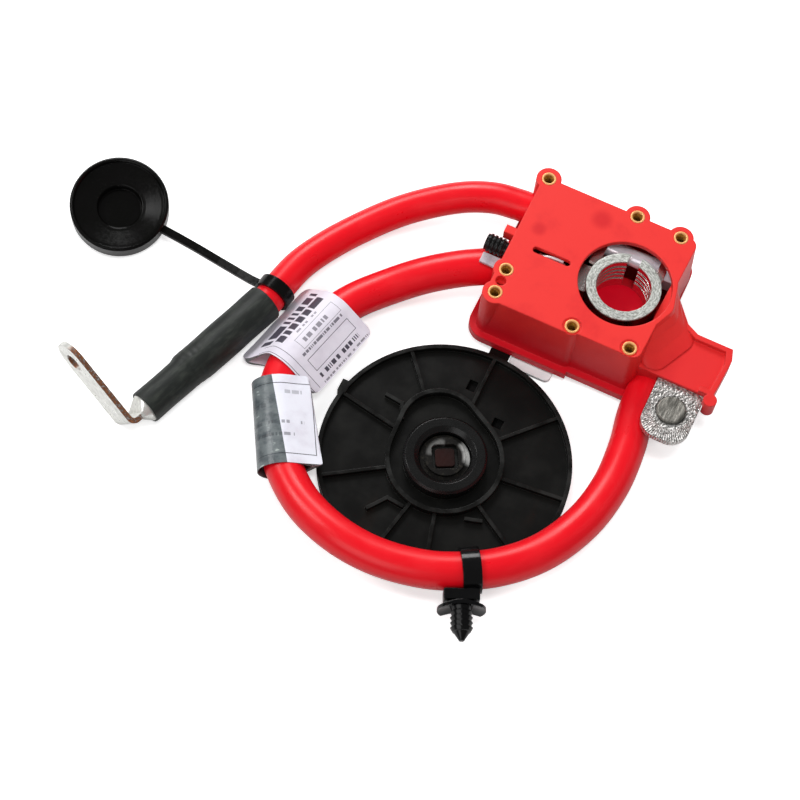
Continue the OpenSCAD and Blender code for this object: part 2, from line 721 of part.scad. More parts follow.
module loop_start_crimp() {
    start = ahead(loop_out, loop_out_turn, -loop_inside);
    color("silver") difference() {
        rod(ahead(start, loop_out_turn, -slide), loop_out_turn - 180, loop_barrel, loop_d / 2 - crimp_wall);
        translate([link_left, link_y - loop_d, link_z - loop_d])
            cube([2 * loop_barrel, 2 * loop_d, 2 * loop_d]);
    }
}

module branch_crimp() {
    start = ahead(branch_out, branch_out_turn, -4);
    color("silver") {
        rod(ahead(start, branch_out_turn, -slide), branch_out_turn - 180, branch_barrel, branch_crimp_r);
        translate([start[0] + branch_barrel - 2, branch_y - bar_w / 2, clamp_z])
            cube([branch_tongue, bar_w, bar_t]);
    }
}

module bus_bar() {
    left = branch_tongue_x + 0.5;
    color("silver") translate([left, bolt_y - 2, clamp_z - bar_t])
        cube([-right_ear_x - left - 1.5, 8, bar_t]);
}

module terminal_lug() {
    color("lightgray") difference() {
        translate([0, 0, lug_z - lug_t]) linear_extrude(lug_t)
            rounded_plan([lug_left, -lug_tip], [lug_left + lug_w, lug_back], 6.4);
        translate([lug_x, stud_y, lug_z - lug_t - 1])
            cylinder(h = lug_t + 2, r = stud_d / 2 + slide, $fn = 48);
    }
}

module lug_stud() {
    color("gray") translate([lug_x, stud_y, lug_z]) {
        cylinder(h = stud_head_h, d1 = stud_head_d, d2 = stud_head_d - 0.8, $fn = 64);
        translate([0, 0, -lug_t - stud_len + 1]) cylinder(h = lug_t + stud_len - 1, d = stud_d, $fn = 64);
        translate([0, 0, -lug_t - stud_len]) cylinder(h = 1, d1 = stud_d - 2, d2 = stud_d, $fn = 64);
    }
}

// Barrel on the loop cable's end, with the tab that carries the lug
module loop_end_crimp() {
    barrel = loop_d / 2 - crimp_wall;
    color("silver") {
        translate(loop_end + [0, slide, 0]) rotate([-90, 0, 0]) cylinder(h = 8, r = barrel, $fn = 48);
        translate([loop_end[0], loop_end[1] + 0.3, loop_end[2]])
            cube([barrel, 7, lug_z - lug_t - loop_end[2]]);
    }
}

module flange_tongue() {
    color("gainsboro") translate([0, 0, tongue_z]) linear_extrude(tongue_t)
        rounded_plan([tongue_x - tongue_w / 2, tongue_front], [tongue_x + tongue_w / 2, slot_back - gap], 2);
}

// Outline of the raised contour: arcs of a large and of a smaller circle, and their common tangents
module contour_plan(grow) {
    large = contour_d / 2;
    small = large * contour_small;
    facing = atan2(contour_shift[1], contour_shift[0]);
    open = acos((large - small) / norm(contour_shift));
    polygon(concat(
        [for (k = [0:40]) let (a = facing + open + k * (360 - 2 * open) / 40) (large + grow) * [cos(a),
            sin(a)]],
        [for (k = [0:16]) let (a = facing - open + k * 2 * open / 16)
            contour_shift + (small + grow) * [cos(a), sin(a)]]));
}

module cover_plate() {
    root = plate_web_z + plate_web_t / 2;
    rib_h = plate_rim_h - gap - root;
    color("black") translate([plate_at[0], plate_at[1], 0]) {
        difference() {
            cylinder(h = plate_rim_h, r = plate_r, $fn = 128);
            translate([0, 0, web_top]) cylinder(h = plate_rim_h, r = plate_r - plate_rim_t, $fn = 128);
            translate([0, 0, -1]) cylinder(h = plate_web_z + 1, r = plate_r - plate_rim_t, $fn = 128);
            translate([-4.5, 27.2, plate_web_z + 0.4]) cube([3, 4, 6]);
            translate([8.5, 18.6, plate_web_z + 0.4]) cube([3.4, 3.4, 6]);
        }
        difference() {
            for (a = rib_angles) rotate([0, 0, a]) translate([contour_d / 2 - 1, -plate_rib_t / 2, root])
                cube([plate_r - contour_d / 2 + 0.5, plate_rib_t, rib_h]);
            linear_extrude(plate_rim_h) contour_plan(-contour_t / 2);
        }
        translate([0, 0, root]) linear_extrude(contour_h - root) difference() {
            contour_plan(0);
            contour_plan(-contour_t);
        }
        // Seat and boss of the hub
        translate([0, 0, root]) difference() {
            cylinder(h = seat_top - root, d = hub_seat_d, $fn = 96);
            translate([0, 0, plate_web_t / 2]) cylinder(h = seat_top, d = hub_seat_d - 4, $fn = 96);
        }
        translate([0, 0, root]) cylinder(h = boss_top - root, d = contact_d + 0.6, $fn = 96);
        translate([0, 0, root]) {
            wall_between([-15.4, -26.5], [-11.1, -20.5], plate_rib_t, rib_h);
            wall_between([-11.1, -20.5], [-5.6, -21], plate_rib_t, rib_h);
            wall_between([-26.8, 13], [-21.1, 12.4], plate_rib_t, rib_h);
            wall_between([-21.1, 12.4], [-18.8, 7.5], plate_rib_t, rib_h);
            wall_between([15, -16], [19.5, -14.6], plate_rib_t, rib_h);
        }
        translate([-plate_r - 0.4, 7.2, plate_web_z]) cube([3, 4.4, plate_rim_h - plate_web_z]);
    }
    color("black") translate([arm_x - arm_w / 2, plate_at[1] + plate_r - plate_rim_t - 0.8, arm_z])
        cube([arm_w, slot_back - gap - plate_at[1] - plate_r + plate_rim_t + 0.8, arm_t]);
}

module hub_collar() {
    inner = collar_hole_d / 2;
    outer = collar_d / 2;
    color("black") translate([plate_at[0], plate_at[1], 0]) rotate_extrude($fn = 96)
        polygon([[inner, seat_top], [outer, seat_top], [outer, collar_top - 0.8], [outer - 0.8, collar_top],
                 [inner + 1.6, collar_top], [inner, collar_top - 1.4]]);
}

module hub_contact() {
    side = contact_square;
    color("silver") translate([plate_at[0], plate_at[1], boss_top]) difference() {
        union() {
            cylinder(h = contact_flange_t, d = contact_d, $fn = 64);
            cylinder(h = contact_flange_t + 1.4, d = contact_body_d, $fn = 64);
        }
        translate([0, 0, -1]) rotate([0, 0, 28]) linear_extrude(5)
            rounded_plan([-side / 2, -side / 2], [side / 2, side / 2], 1.6);
    }
}

module hub_core() {
    half = contact_square / 2 - 1.1;
    color("saddlebrown") translate([plate_at[0], plate_at[1], boss_top]) rotate([0, 0, 28])
        linear_extrude(contact_flange_t + 0.6) rounded_plan([-half, -half], [half, half], 1.2);
}

module cable(route, d) {
    last = (len(route) - 1) * 2;
    sweep([for (i = [0:last]) along(route, i / 2)], ring_section(d / 2));
}

module branch_cable() {
    color("red") cable(branch_path, branch_d);
}

module loop_cable() {
    color("red") cable(loop_path, loop_d);
}

module heat_shrink_sleeve() {
    wide = shrink_wide_d / 2;
    narrow = shrink_narrow_d / 2;
    cable_r = branch_d / 2 + slide;
    tail_r = barrel_r + slide;
    color("dimgray") translate(shrink_from) rotate([0, 0, shrink_turn]) rotate([0, 90, 0])
        rotate_extrude($fn = 64)
        polygon([[cable_r, 0], [wide - 0.4, 0], [wide, 0.5], [wide, shrink_step], [narrow, shrink_step + 4],
                 [narrow, shrink_len], [tail_r, shrink_len], [tail_r, shrink_cable_in + 0.2], [cable_r,
                     shrink_cable_in + 0.2]]);
}

// Barrel in the sleeve, a short leg and the palm that is bent up across it
module angle_lug() {
    t = angle_lug_t;
    w = angle_lug_w;
    start = shrink_cable_in;
    bend = shrink_len + lug_leg;
    tip = angle_lug_palm;
    color("silver") translate(shrink_from) rotate([0, 0, shrink_turn]) rotate([90 - angle_lug_roll, 0, 0])
        difference() {
        union() {
            translate([start, 0, 0]) rotate([0, 90, 0])
                cylinder(h = shrink_len - start, r = barrel_r, $fn = 48);
            hull() {
                translate([shrink_len - 0.1, 0, 0]) rotate([0, 90, 0])
                    cylinder(h = 0.2, r = barrel_r, $fn = 32);
                translate([shrink_len + 3.4, -w / 2, -t / 2]) cube([0.4, w, t]);
            }
            translate([shrink_len + 3.4, -w / 2, -t / 2]) cube([bend - shrink_len - 3.4 - lug_bend_r, w, t]);
            translate([bend - lug_bend_r, w / 2, lug_bend_r - t / 2]) rotate([90, 0, 0]) intersection() {
                difference() {
                    cylinder(h = w, r = lug_bend_r, $fn = 48);
                    translate([0, 0, -1]) cylinder(h = w + 2, r = lug_bend_r - t, $fn = 48);
                }
                translate([0, -lug_bend_r - 1, -1]) cube([lug_bend_r + 1, lug_bend_r + 1, w + 2]);
            }
            translate([bend - t, -w / 2, lug_bend_r - t / 2]) cube([t, w, tip - lug_bend_r - w / 2 + t / 2]);
            translate([bend - t, 0, tip - w / 2]) rotate([0, 90, 0]) cylinder(h = t, d = w, $fn = 64);
        }
        translate([bend - t - 1, 0, tip - angle_lug_hole_from_tip]) rotate([0, 90, 0])
            cylinder(h = t + 2, d = angle_lug_hole_d, $fn = 48);
    }
}

module cap_cup() {
    outer = cap_d / 2;
    socket = cap_socket_d / 2;
    land = cap_h - cap_recess;
    rotate_extrude($fn = 96)
        polygon([[0, 0], [outer - 1.2, 0], [outer, 1.2], [outer, cap_h - 0.6], [outer - 0.6, cap_h],
                 [outer - cap_wall + 0.4, cap_h], [outer - cap_wall, cap_h - 0.5], [outer - cap_wall,
                     cap_h - 1.4],
                 [outer - cap_wall - 1, cap_h - 1.6], [socket + 1.6, land], [socket + 0.5, land - 0.2],
                 [socket, land - 0.8], [socket, cap_crown_t], [0, cap_crown_t]]);
}

// Cap, tether and the ring that turns on the branch cable, moulded as one piece
module terminal_cap() {
    ring_in = branch_d / 2 + slide;
    ring_out = ring_in + tether_ring_t;
    color("black") {
        translate([cap_at[0], cap_at[1], cap_lift + (cap_d / 2 - 0.4) * sin(cap_tilt)])
            rotate([0, 0, cap_low_turn]) rotate([0, cap_tilt, 0]) cap_cup();
        sweep(tether_route, strip_section([-tether_w / 2, 0], [tether_w / 2, 0], tether_t));
        translate(ring_at) rotate([0, 0, ring_turn]) rotate([0, 90, 0]) translate([0, 0, -tether_ring_w / 2])
            difference() {
                cylinder(h = tether_ring_w, r = ring_out, $fn = 64);
                translate([0, 0, -1]) cylinder(h = tether_ring_w + 2, r = ring_in, $fn = 64);
            }
    }
}

module cable_tie() {
    color("black") translate(tie_at) {
        rotate([0, 0, tie_turn]) rotate([0, 90, 0]) translate([0, 0, -tie_w / 2]) difference() {
            cylinder(h = tie_w, r = tie_band_in + tie_t, $fn = 64);
            translate([0, 0, -1]) cylinder(h = tie_w + 2, r = tie_band_in, $fn = 64);
        }
        rotate([0, 0, tie_turn - 90 - tie_lean])
            translate([tie_head_in, -tie_head_w / 2 - tie_head_shift, -3])
            cube([tie_head_h + 0.6, tie_head_w, 6]);
    }
}

// Saucer and barbed shank, moulded in one on the tie's head
module tie_anchor() {
    core = barb_core_d / 2;
    barb = barb_d / 2;
    tip = barb_shank + barb_count * barb_pitch;
    color("black") translate(tie_at) rotate([0, 0, tie_turn - 90 - tie_lean])
        translate([tie_head_in + tie_head_h + 0.6, -tie_head_shift, 0]) rotate([0, 90, 0]) {
            intersection() {
                rotate_extrude($fn = 64)
                    polygon([[0, 0], [3.5, 0], [umbrella_w / 2, 2.2], [umbrella_w / 2, 3.2],
                                                  [3, 1.4], [0, 1.4]]);
                translate([-umbrella_h / 2, -umbrella_w, -1]) cube([umbrella_h, 2 * umbrella_w, 8]);
            }
            rotate_extrude($fn = 48) polygon(concat([[0, 0], [core, 0], [core, barb_shank]],
                [for (i = [0:barb_count - 1]) each [[barb, barb_shank + i * barb_pitch + 0.3],
                    [core, barb_shank + (i + 0.95) * barb_pitch]]],
                [[core * 0.9, tip], [0.8, tip + barb_tip], [0, tip + barb_tip]]));
        }
}

// Outline of paper folded round a circle: its arcs, and the tangents that meet at each bonded edge
function folded_outline(r, edges) =
    let (n = len(edges), facing = [for (e = edges) (level_turn(e) + 360) % 360],
        open = [for (e = edges) acos(r / norm(e))])
    [for (i = [0:n - 1])
        let (from = facing[i] + open[i], next = (i + 1) % n,
             to = facing[next] - open[next] + (next <= i ? 360 : 0), steps = ceil((to - from) / 6))
        each concat([edges[i]], [for (k = [0:steps])
            let (a = from + k * (to - from) / steps) r * [cos(a), sin(a)]])];
function pulled_in(edges, by) = [for (e = edges) e * (1 - by / norm(e))];

// Straight paper label round the loop cable between two places of its route; edges are [left, up], in
// the order they come up counterclockwise
module label(places, edges) {
    first = along(loop_path, places[0]);
    last = along(loop_path, places[1]);
    lift = (along(loop_path, (places[0] + places[1]) / 2) - (first + last) / 2) / 2;
    run = last - first;
    half_w = loop_d / 2 + label_slack;
    flat = (loop_d / 2 + label_rise) / half_w;
    round_edges = [for (e = edges) [e[0], e[1] / flat]];
    translate(first + lift) rotate([0, -asin(run[2] / norm(run)), level_turn(run)]) rotate([90, 0, 90])
        linear_extrude(norm(run)) scale([1, flat]) difference() {
            polygon(folded_outline(half_w + label_t, round_edges));
            polygon(folded_outline(half_w, pulled_in(round_edges, label_bond)));
        }
}

module label_wrap() {
    color("white") label(wrap_places, wrap_edges);
}

module label_fold() {
    color("white") label(fold_places, fold_edges);
}

housing_cover();
housing_base();
brass_sleeves();
clamp_ring();
clamp_bolt();
clamp_nut();
link_sleeve();
side_plug();
plug_clip();
loop_start_crimp();
branch_crimp();
bus_bar();
terminal_lug();
lug_stud();
loop_end_crimp();
flange_tongue();
cover_plate();
hub_collar();
hub_contact();
hub_core();
branch_cable();
loop_cable();
heat_shrink_sleeve();
angle_lug();
terminal_cap();
cable_tie();
tie_anchor();
label_wrap();
label_fold();
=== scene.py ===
"""Battery cable with a post clamp in a red housing, a cover disc and a capped angle lug.

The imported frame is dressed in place. The two cables, the shrink sleeve, the paper labels,
the threaded brass sleeves and the tab in the housing's slot are surfaces worked out here.
Sizes are written in millimetres, as in the part's source, and MM turns them into metres.
"""

from __future__ import annotations

import json
import logging
import math
from dataclasses import dataclass, field
from enum import Enum
from typing import Any, Protocol, Sequence

import bpy
import numpy as np
from mathutils import Matrix, Vector

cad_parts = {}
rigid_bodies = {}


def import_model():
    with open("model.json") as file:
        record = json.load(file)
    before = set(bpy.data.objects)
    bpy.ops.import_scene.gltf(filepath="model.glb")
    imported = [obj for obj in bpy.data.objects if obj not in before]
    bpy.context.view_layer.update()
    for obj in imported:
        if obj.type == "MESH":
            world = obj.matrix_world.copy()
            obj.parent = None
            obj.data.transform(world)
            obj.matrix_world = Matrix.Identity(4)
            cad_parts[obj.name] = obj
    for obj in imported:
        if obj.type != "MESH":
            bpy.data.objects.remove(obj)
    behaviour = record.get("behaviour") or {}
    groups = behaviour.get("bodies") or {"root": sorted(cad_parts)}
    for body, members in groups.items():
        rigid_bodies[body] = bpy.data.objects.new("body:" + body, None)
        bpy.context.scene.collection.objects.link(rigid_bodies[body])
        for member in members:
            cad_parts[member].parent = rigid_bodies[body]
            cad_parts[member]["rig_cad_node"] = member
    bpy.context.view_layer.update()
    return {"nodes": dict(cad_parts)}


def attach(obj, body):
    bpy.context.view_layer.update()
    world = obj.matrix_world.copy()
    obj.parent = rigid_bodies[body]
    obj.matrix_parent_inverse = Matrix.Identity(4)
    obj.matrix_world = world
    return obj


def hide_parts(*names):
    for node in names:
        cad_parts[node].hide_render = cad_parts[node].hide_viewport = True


LOG = logging.getLogger("battery_cable")
ROOT_BODY = "root"
MAP_NAME = "surface"
MM = 0.001
UP = np.array([0.0, 0.0, 1.0])

Colour = tuple[float, float, float]
Point = tuple[float, float, float]
Spot = tuple[float, float]

# Height of the housing's top face and the clamp's crown, in metres.
TOP_FACE = 26.6 * MM
# Start of the angle lug's barrel, in millimetres, and its level heading, in degrees.
BARREL_START: Point = (-107.5, -48.5, 6.7)
BARREL_TURN = 251.3


class Slot(Enum):
    """Material slots of the record."""

    HOUSING = "housing_red"
    BRASS = "brass"
    TINNED = "tinned_metal"
    POLISHED = "polished_steel"
    BLACK_PLASTIC = "black_plastic"
    LUG = "lug_metal"
    STUD = "stud_steel"
    TONGUE = "pale_tongue"
    HUB = "hub_brown"
    CABLE = "cable_red"
    SHRINK = "shrink_black"
    LUG_PLATE = "lug_plate"
    CAP = "cap_black"
    TIE = "tie_black"
    PAPER = "label_paper"
    FILM = "label_film"


def heading(turn: float) -> np.ndarray:
    """Level unit vector at an angle in degrees from +X."""
    return np.array([math.cos(math.radians(turn)), math.sin(math.radians(turn)), 0.0])


def ahead(start: Sequence[float], turn: float, distance: float) -> Point:
    """Point at a distance from start along a level heading."""
    x, y, z = np.array(start, float) + distance * heading(turn)
    return (x, y, z)


def smooth_step(x: np.ndarray) -> np.ndarray:
    """Cubic step 3x² − 2x³ between 0 and 1."""
    x = np.clip(x, 0.0, 1.0)
    return x * x * (3 - 2 * x)


def bell(x: np.ndarray, centre: float, width: float) -> np.ndarray:
    """Bell curve exp(−((x − centre) / width)²)."""
    return np.exp(-(((x - centre) / width) ** 2))


def circle(sides: int) -> np.ndarray:
    """Row of even angles round a circle, in radians, without the last."""
    return np.linspace(0, 2 * math.pi, sides, endpoint=False)[None]


def rim(diameter: float, sides: int) -> np.ndarray:
    """Map places round a circle whose diameter is in millimetres, with one for the seam's other side."""
    return np.linspace(0, math.pi * diameter * MM, sides + 1)


@dataclass(frozen=True)
class Route:
    """Smooth curve through points given in millimetres."""

    points: tuple[Point, ...]

    def at(self, place: np.ndarray) -> np.ndarray:
        """Points of the curve, in metres.

        A stretch between points b and c, with a before and d after, is the Catmull-Rom cubic
        (2b + (c − a)t + (2a − 5b + 4c − d)t² + (3b − a − 3c + d)t³) / 2.

        Args:
            place: positions counted in the route's points.

        Returns:
            One row of x, y, z for each position.
        """
        knots = np.array(self.points, float) * MM
        last = len(knots) - 1
        i = np.minimum(np.floor(place).astype(int), last - 1)
        t = (place - i)[:, None]
        a, b = knots[np.maximum(i - 1, 0)], knots[i]
        c, d = knots[i + 1], knots[np.minimum(i + 2, last)]
        cubic = (2 * a - 5 * b + 4 * c - d) * t**2 + (3 * b - a - 3 * c + d) * t**3
        return 0.5 * (2 * b + (c - a) * t + cubic)

    def line(self, steps: int = 10) -> np.ndarray:
        """Points of the whole curve, in metres, at even positions, steps to a stretch."""
        last = len(self.points) - 1
        return self.at(np.linspace(0, last, last * steps + 1))


def run_of(path: np.ndarray) -> np.ndarray:
    """Length along a path up to each of its points."""
    return np.concatenate([[0.0], np.cumsum(np.linalg.norm(np.diff(path, axis=0), axis=1))])


def carried(path: np.ndarray, side: np.ndarray, rise: np.ndarray) -> np.ndarray:
    """Grid of points of a section that is carried along a path.

    Each point is path + side · s + rise · u, where s = t × z is level and u = s × t,
    for the path's direction t.

    Args:
        path: rows of x, y, z.
        side: offsets along s, a row for each point of the path or one row for all.
        rise: offsets along u, shaped as side is.

    Returns:
        Array of rows × columns × 3.
    """
    direction = np.gradient(path, axis=0)
    direction /= np.linalg.norm(direction, axis=1)[:, None]
    across = np.cross(direction, UP)
    across /= np.linalg.norm(across, axis=1)[:, None]
    upward = np.cross(across, direction)
    side, rise = np.atleast_2d(side), np.atleast_2d(rise)
    return path[:, None] + side[..., None] * across[:, None] + rise[..., None] * upward[:, None]


def turned(profile: np.ndarray, centre: Spot, sides: int) -> np.ndarray:
    """Grid of a profile turned about a vertical axis: (r cos a, r sin a, h).

    Args:
        profile: rows of radius r and height h.
        centre: x and y of the axis.
        sides: points round the axis.

    Returns:
        Array of rows × sides × 3.
    """
    a = circle(sides)
    r, h = profile[:, :1], profile[:, 1:]
    return np.stack([r * np.cos(a), r * np.sin(a), h + 0 * a], -1) + np.array([*centre, 0.0])


@dataclass
class Skin:
    """Surface under work: grids of points with their faces and map places, joined into one mesh."""

    points: list[np.ndarray] = field(default_factory=list)
    faces: list[np.ndarray] = field(default_factory=list)
    maps: list[np.ndarray] = field(default_factory=list)
    count: int = 0

    def grid(self, net: np.ndarray, u: np.ndarray | None = None, v: np.ndarray | None = None) -> np.ndarray:
        """Adds a net that is closed around its columns.

        Args:
            net: rows × columns × 3.
            u: map place of each row.
            v: map place of each column, with one more for the seam's other side.

        Returns:
            Number of each point, shaped as the net.
        """
        rows, cols = net.shape[:2]
        u = np.arange(rows, dtype=float) if u is None else u
        v = np.arange(cols + 1, dtype=float) if v is None else v
        numbers = self.count + np.arange(rows * cols).reshape(rows, cols)
        self.points.append(net.reshape(-1, 3))
        self.count += rows * cols
        self.strip(numbers, u, v)
        return numbers

    def strip(self, numbers: np.ndarray, u: np.ndarray, v: np.ndarray) -> None:
        """Adds the faces between the rows of a net.

        Args:
            numbers: number of each point, shaped as the net.
            u: map place of each row.
            v: map place of each column, with one more for the seam's other side.
        """
        low, high = numbers[:-1], numbers[1:]
        quads = np.stack([low, np.roll(low, -1, 1), np.roll(high, -1, 1), high], -1)
        uu = np.broadcast_to(np.stack([u[:-1], u[:-1], u[1:], u[1:]], -1)[:, None], quads.shape)
        vv = np.broadcast_to(np.stack([v[:-1], v[1:], v[1:], v[:-1]], -1)[None], quads.shape)
        self.faces.append(quads.reshape(-1, 4))
        self.maps.append(np.stack([uu, vv], -1).reshape(-1, 4, 2))

    def join(self, a: np.ndarray, b: np.ndarray) -> None:
        """Joins two rings of point numbers with a strip that takes one place of the map."""
        self.strip(np.stack([a, b]), np.zeros(2), np.arange(a.size + 1) / a.size)

    def shell(
        self, outside: np.ndarray, inside: np.ndarray, u_out: np.ndarray, u_in: np.ndarray, v: np.ndarray
    ) -> None:
        """Adds an outer and an inner wall and joins them at both ends.

        Args:
            outside: net of the outer wall, rows × columns × 3.
            inside: net of the inner wall, with as many columns.
            u_out: map place of each row outside.
            u_in: map place of each row inside.
            v: map place of each column, with one more for the seam's other side.
        """
        outer = self.grid(outside, u_out, v)
        inner = self.grid(inside[::-1], u_in[::-1], v)
        self.join(outer[-1], inner[0])
        self.join(inner[-1], outer[0])

    def rod(self, net: np.ndarray, u: np.ndarray, v: np.ndarray, pin: float = 0.02) -> None:
        """Adds a net and closes each end with a ring shrunk about its middle to a pin's width.

        Args:
            net: rows × columns × 3.
            u: map place of each row.
            v: map place of each column, with one more for the seam's other side.
            pin: share of the end's width that the ring keeps.
        """
        ends = net[[0, -1]]
        middle = ends.mean(axis=1, keepdims=True)
        first, last = middle + (ends - middle) * pin
        closed = np.concatenate([first[None], net, last[None]])
        self.grid(closed, np.concatenate([u[:1], u, u[-1:]]), v)

    def piece(self, name: str, smooth: float = 40.0) -> bpy.types.Object:
        """Makes the mesh object, with its faces outward and its map.

        The faces are turned round where the sum of their cones' volumes is below zero.

        Args:
            name: name of the piece.
            smooth: angle in degrees past which an edge stays sharp.

        Returns:
            The object, linked to the scene.
        """
        points, faces = np.concatenate(self.points), np.concatenate(self.faces)
        maps = np.concatenate(self.maps)
        a, b, c, d = (points[faces[:, k]] for k in range(4))
        if (a * (np.cross(b, c) + np.cross(c, d))).sum() < 0:
            faces, maps = faces[:, ::-1], maps[:, ::-1]
        mesh = bpy.data.meshes.new(name)
        mesh.from_pydata(points.tolist(), [], faces.tolist())
        layer = mesh.uv_layers.new(name=MAP_NAME)
        layer.data.foreach_set("uv", maps.astype(np.float32).ravel())
        mesh.polygons.foreach_set("use_smooth", np.ones(len(faces), bool))
        mesh.set_sharp_from_angle(angle=math.radians(smooth))
        mesh.update()
        return placed(bpy.data.objects.new(name, mesh))


def placed(thing: bpy.types.Object) -> bpy.types.Object:
    """Links an object to the scene."""
    bpy.context.scene.collection.objects.link(thing)
    return thing


class Term:
    """Number, vector or colour of a shader graph that takes part in Python expressions."""

    def __init__(self, graph: Graph, socket: bpy.types.NodeSocket) -> None:
        """Keeps the graph and the socket."""
        self.graph = graph
        self.socket = socket

    def _math(self, operation: str, a: Term | float, b: Term | float) -> Term:
        """Math node of a and b."""
        return self.graph.term(self.graph.node("Math", {"operation": operation}, {0: a, 1: b}))

    def __add__(self, other: Term | float) -> Term:
        """Sum."""
        return self._math("ADD", self, other)

    __radd__ = __add__

    def __sub__(self, other: Term | float) -> Term:
        """Difference."""
        return self._math("SUBTRACT", self, other)

    def __rsub__(self, other: Term | float) -> Term:
        """Difference, with this term taken away."""
        return self._math("SUBTRACT", other, self)

    def __mul__(self, other: Term | float) -> Term:
        """Product."""
        return self._math("MULTIPLY", self, other)

    __rmul__ = __mul__

    def __truediv__(self, other: Term | float) -> Term:
        """Quotient."""
        return self._math("DIVIDE", self, other)

    def __gt__(self, other: Term | float) -> Term:
        """1 where this is above other, else 0."""
        return self._math("GREATER_THAN", self, other)

    def __lt__(self, other: Term | float) -> Term:
        """1 where this is below other, else 0."""
        return self._math("LESS_THAN", self, other)

    def most(self, other: Term | float) -> Term:
        """Greater of the two."""
        return self._math("MAXIMUM", self, other)

    def within(self, low: float, high: float) -> Term:
        """1 between low and high, else 0."""
        return (self > low) * (self < high)

    def function(self, operation: str, other: Term | float = 0.0) -> Term:
        """Math node of this alone, such as SINE or FLOOR, or of this and other, such as ARCTAN2."""
        return self._math(operation, self, other)

    def ramp(self, low: float, high: float, out_low: float = 0.0, out_high: float = 1.0) -> Term:
        """Smooth map of low…high to out_low…out_high, held at both ends."""
        values = {0: self, 1: low, 2: high, 3: out_low, 4: out_high}
        return self.graph.term(self.graph.node("MapRange", {"interpolation_type": "SMOOTHSTEP"}, values))


class Graph:
    """Shader graph of one material."""

    def __init__(self, name: str) -> None:
        """Makes an empty material.

        Args:
            name: the material's name.
        """
        self.material = bpy.data.materials.new(name)
        self.material.use_nodes = True
        self.tree = self.material.node_tree
        self.tree.nodes.clear()

    def node(
        self, kind: str, settings: dict[str, Any] | None = None, values: dict[Any, Any] | None = None
    ) -> bpy.types.Node:
        """Adds a node.

        Args:
            kind: the node's type after ShaderNode.
            settings: its properties, which are set first.
            values: values or terms of its sockets, by name or number.

        Returns:
            The node.
        """
        made = self.tree.nodes.new("ShaderNode" + kind)
        for key, value in (settings or {}).items():
            setattr(made, key, value)
        for key, value in (values or {}).items():
            if isinstance(value, Term):
                self.tree.links.new(value.socket, made.inputs[key])
            else:
                made.inputs[key].default_value = value
        return made

    def term(self, node: bpy.types.Node, output: int | str = 0) -> Term:
        """Output of a node as a term."""
        return Term(self, node.outputs[output])

    def place(self) -> Term:
        """Object coordinates, in metres in the frame's own axes."""
        return self.term(self.node("TexCoord"), "Object")

    def surface(self) -> Term:
        """The piece's own map."""
        return self.term(self.node("UVMap", {"uv_map": MAP_NAME}))

    def axes(self, vector: Term) -> tuple[Term, Term, Term]:
        """The three numbers of a vector."""
        split = self.node("SeparateXYZ", None, {0: vector})
        return self.term(split, 0), self.term(split, 1), self.term(split, 2)

    def height(self) -> Term:
        """Height of the object coordinates, in metres."""
        return self.axes(self.place())[2]

    def around(self, centre: Spot) -> tuple[Term, Term, Term]:
        """Plan of the piece about a centre.

        Args:
            centre: x and y, in millimetres.

        Returns:
            Distance from the centre, at least a tenth of a millimetre, and x and y from it, in metres.
        """
        x, y, _ = self.axes(self.place())
        dx, dy = x - centre[0] * MM, y - centre[1] * MM
        return (dx * dx + dy * dy).function("SQRT").most(0.1 * MM), dx, dy

    def vector(self, x: Term | float, y: Term | float, z: Term | float) -> Term:
        """Vector of three numbers."""
        return self.term(self.node("CombineXYZ", None, {0: x, 1: y, 2: z}))

    def stretched(self, vector: Term, scale: Point) -> Term:
        """Vector with each of its numbers multiplied."""
        return self.term(self.node("VectorMath", {"operation": "MULTIPLY"}, {0: vector, 1: scale}))

    def noise(self, vector: Term, scale: float, detail: float = 2.0, rough: float = 0.5) -> Term:
        """Cloudy noise from 0 to 1."""
        values = {"Vector": vector, "Scale": scale, "Detail": detail, "Roughness": rough}
        return self.term(self.node("TexNoise", None, values))

    def cells(self, vector: Term, scale: float) -> Term:
        """Distance to the nearest of scattered points, which makes cells."""
        return self.term(self.node("TexVoronoi", None, {"Vector": vector, "Scale": scale}), "Distance")

    def mixed(self, share: Term | float, a: Term | Colour, b: Term | Colour) -> Term:
        """Colour a turning into b as share goes from 0 to 1."""
        return self.term(self.node("Mix", {"data_type": "RGBA"}, {0: share, 6: opaque(a), 7: opaque(b)}), 2)

    def relief(self, height: Term, depth: float, edge: float | None = 0.35 * MM) -> Term:
        """Normal of a height.

        Args:
            height: from 0 to 1.
            depth: what a height of 1 stands for, in metres.
            edge: radius that sharp edges are rounded by, or None.

        Returns:
            The normal.
        """
        values = {"Height": height, "Distance": depth, "Strength": 1.0}
        if edge:
            values["Normal"] = self.term(self.node("Bevel", {"samples": 6}, {"Radius": edge}))
        return self.term(self.node("Bump", None, values))

    def finish(self, **sockets: Any) -> bpy.types.Material:
        """Closes the graph with one Principled shader.

        Args:
            sockets: values or terms by the socket's name, with _ for a space.

        Returns:
            The material.
        """
        values = {key.replace("_", " "): opaque(value) for key, value in sockets.items()}
        shader = self.node("BsdfPrincipled", None, values)
        output = self.node("OutputMaterial")
        self.tree.links.new(shader.outputs[0], output.inputs[0])
        return self.material


def opaque(value: Any) -> Any:
    """A colour of three numbers with its alpha; anything else as it is."""
    return (*value, 1.0) if isinstance(value, tuple) and len(value) == 3 else value


def grey(level: float) -> Colour:
    """Neutral scene colour."""
    return (level, level, level)


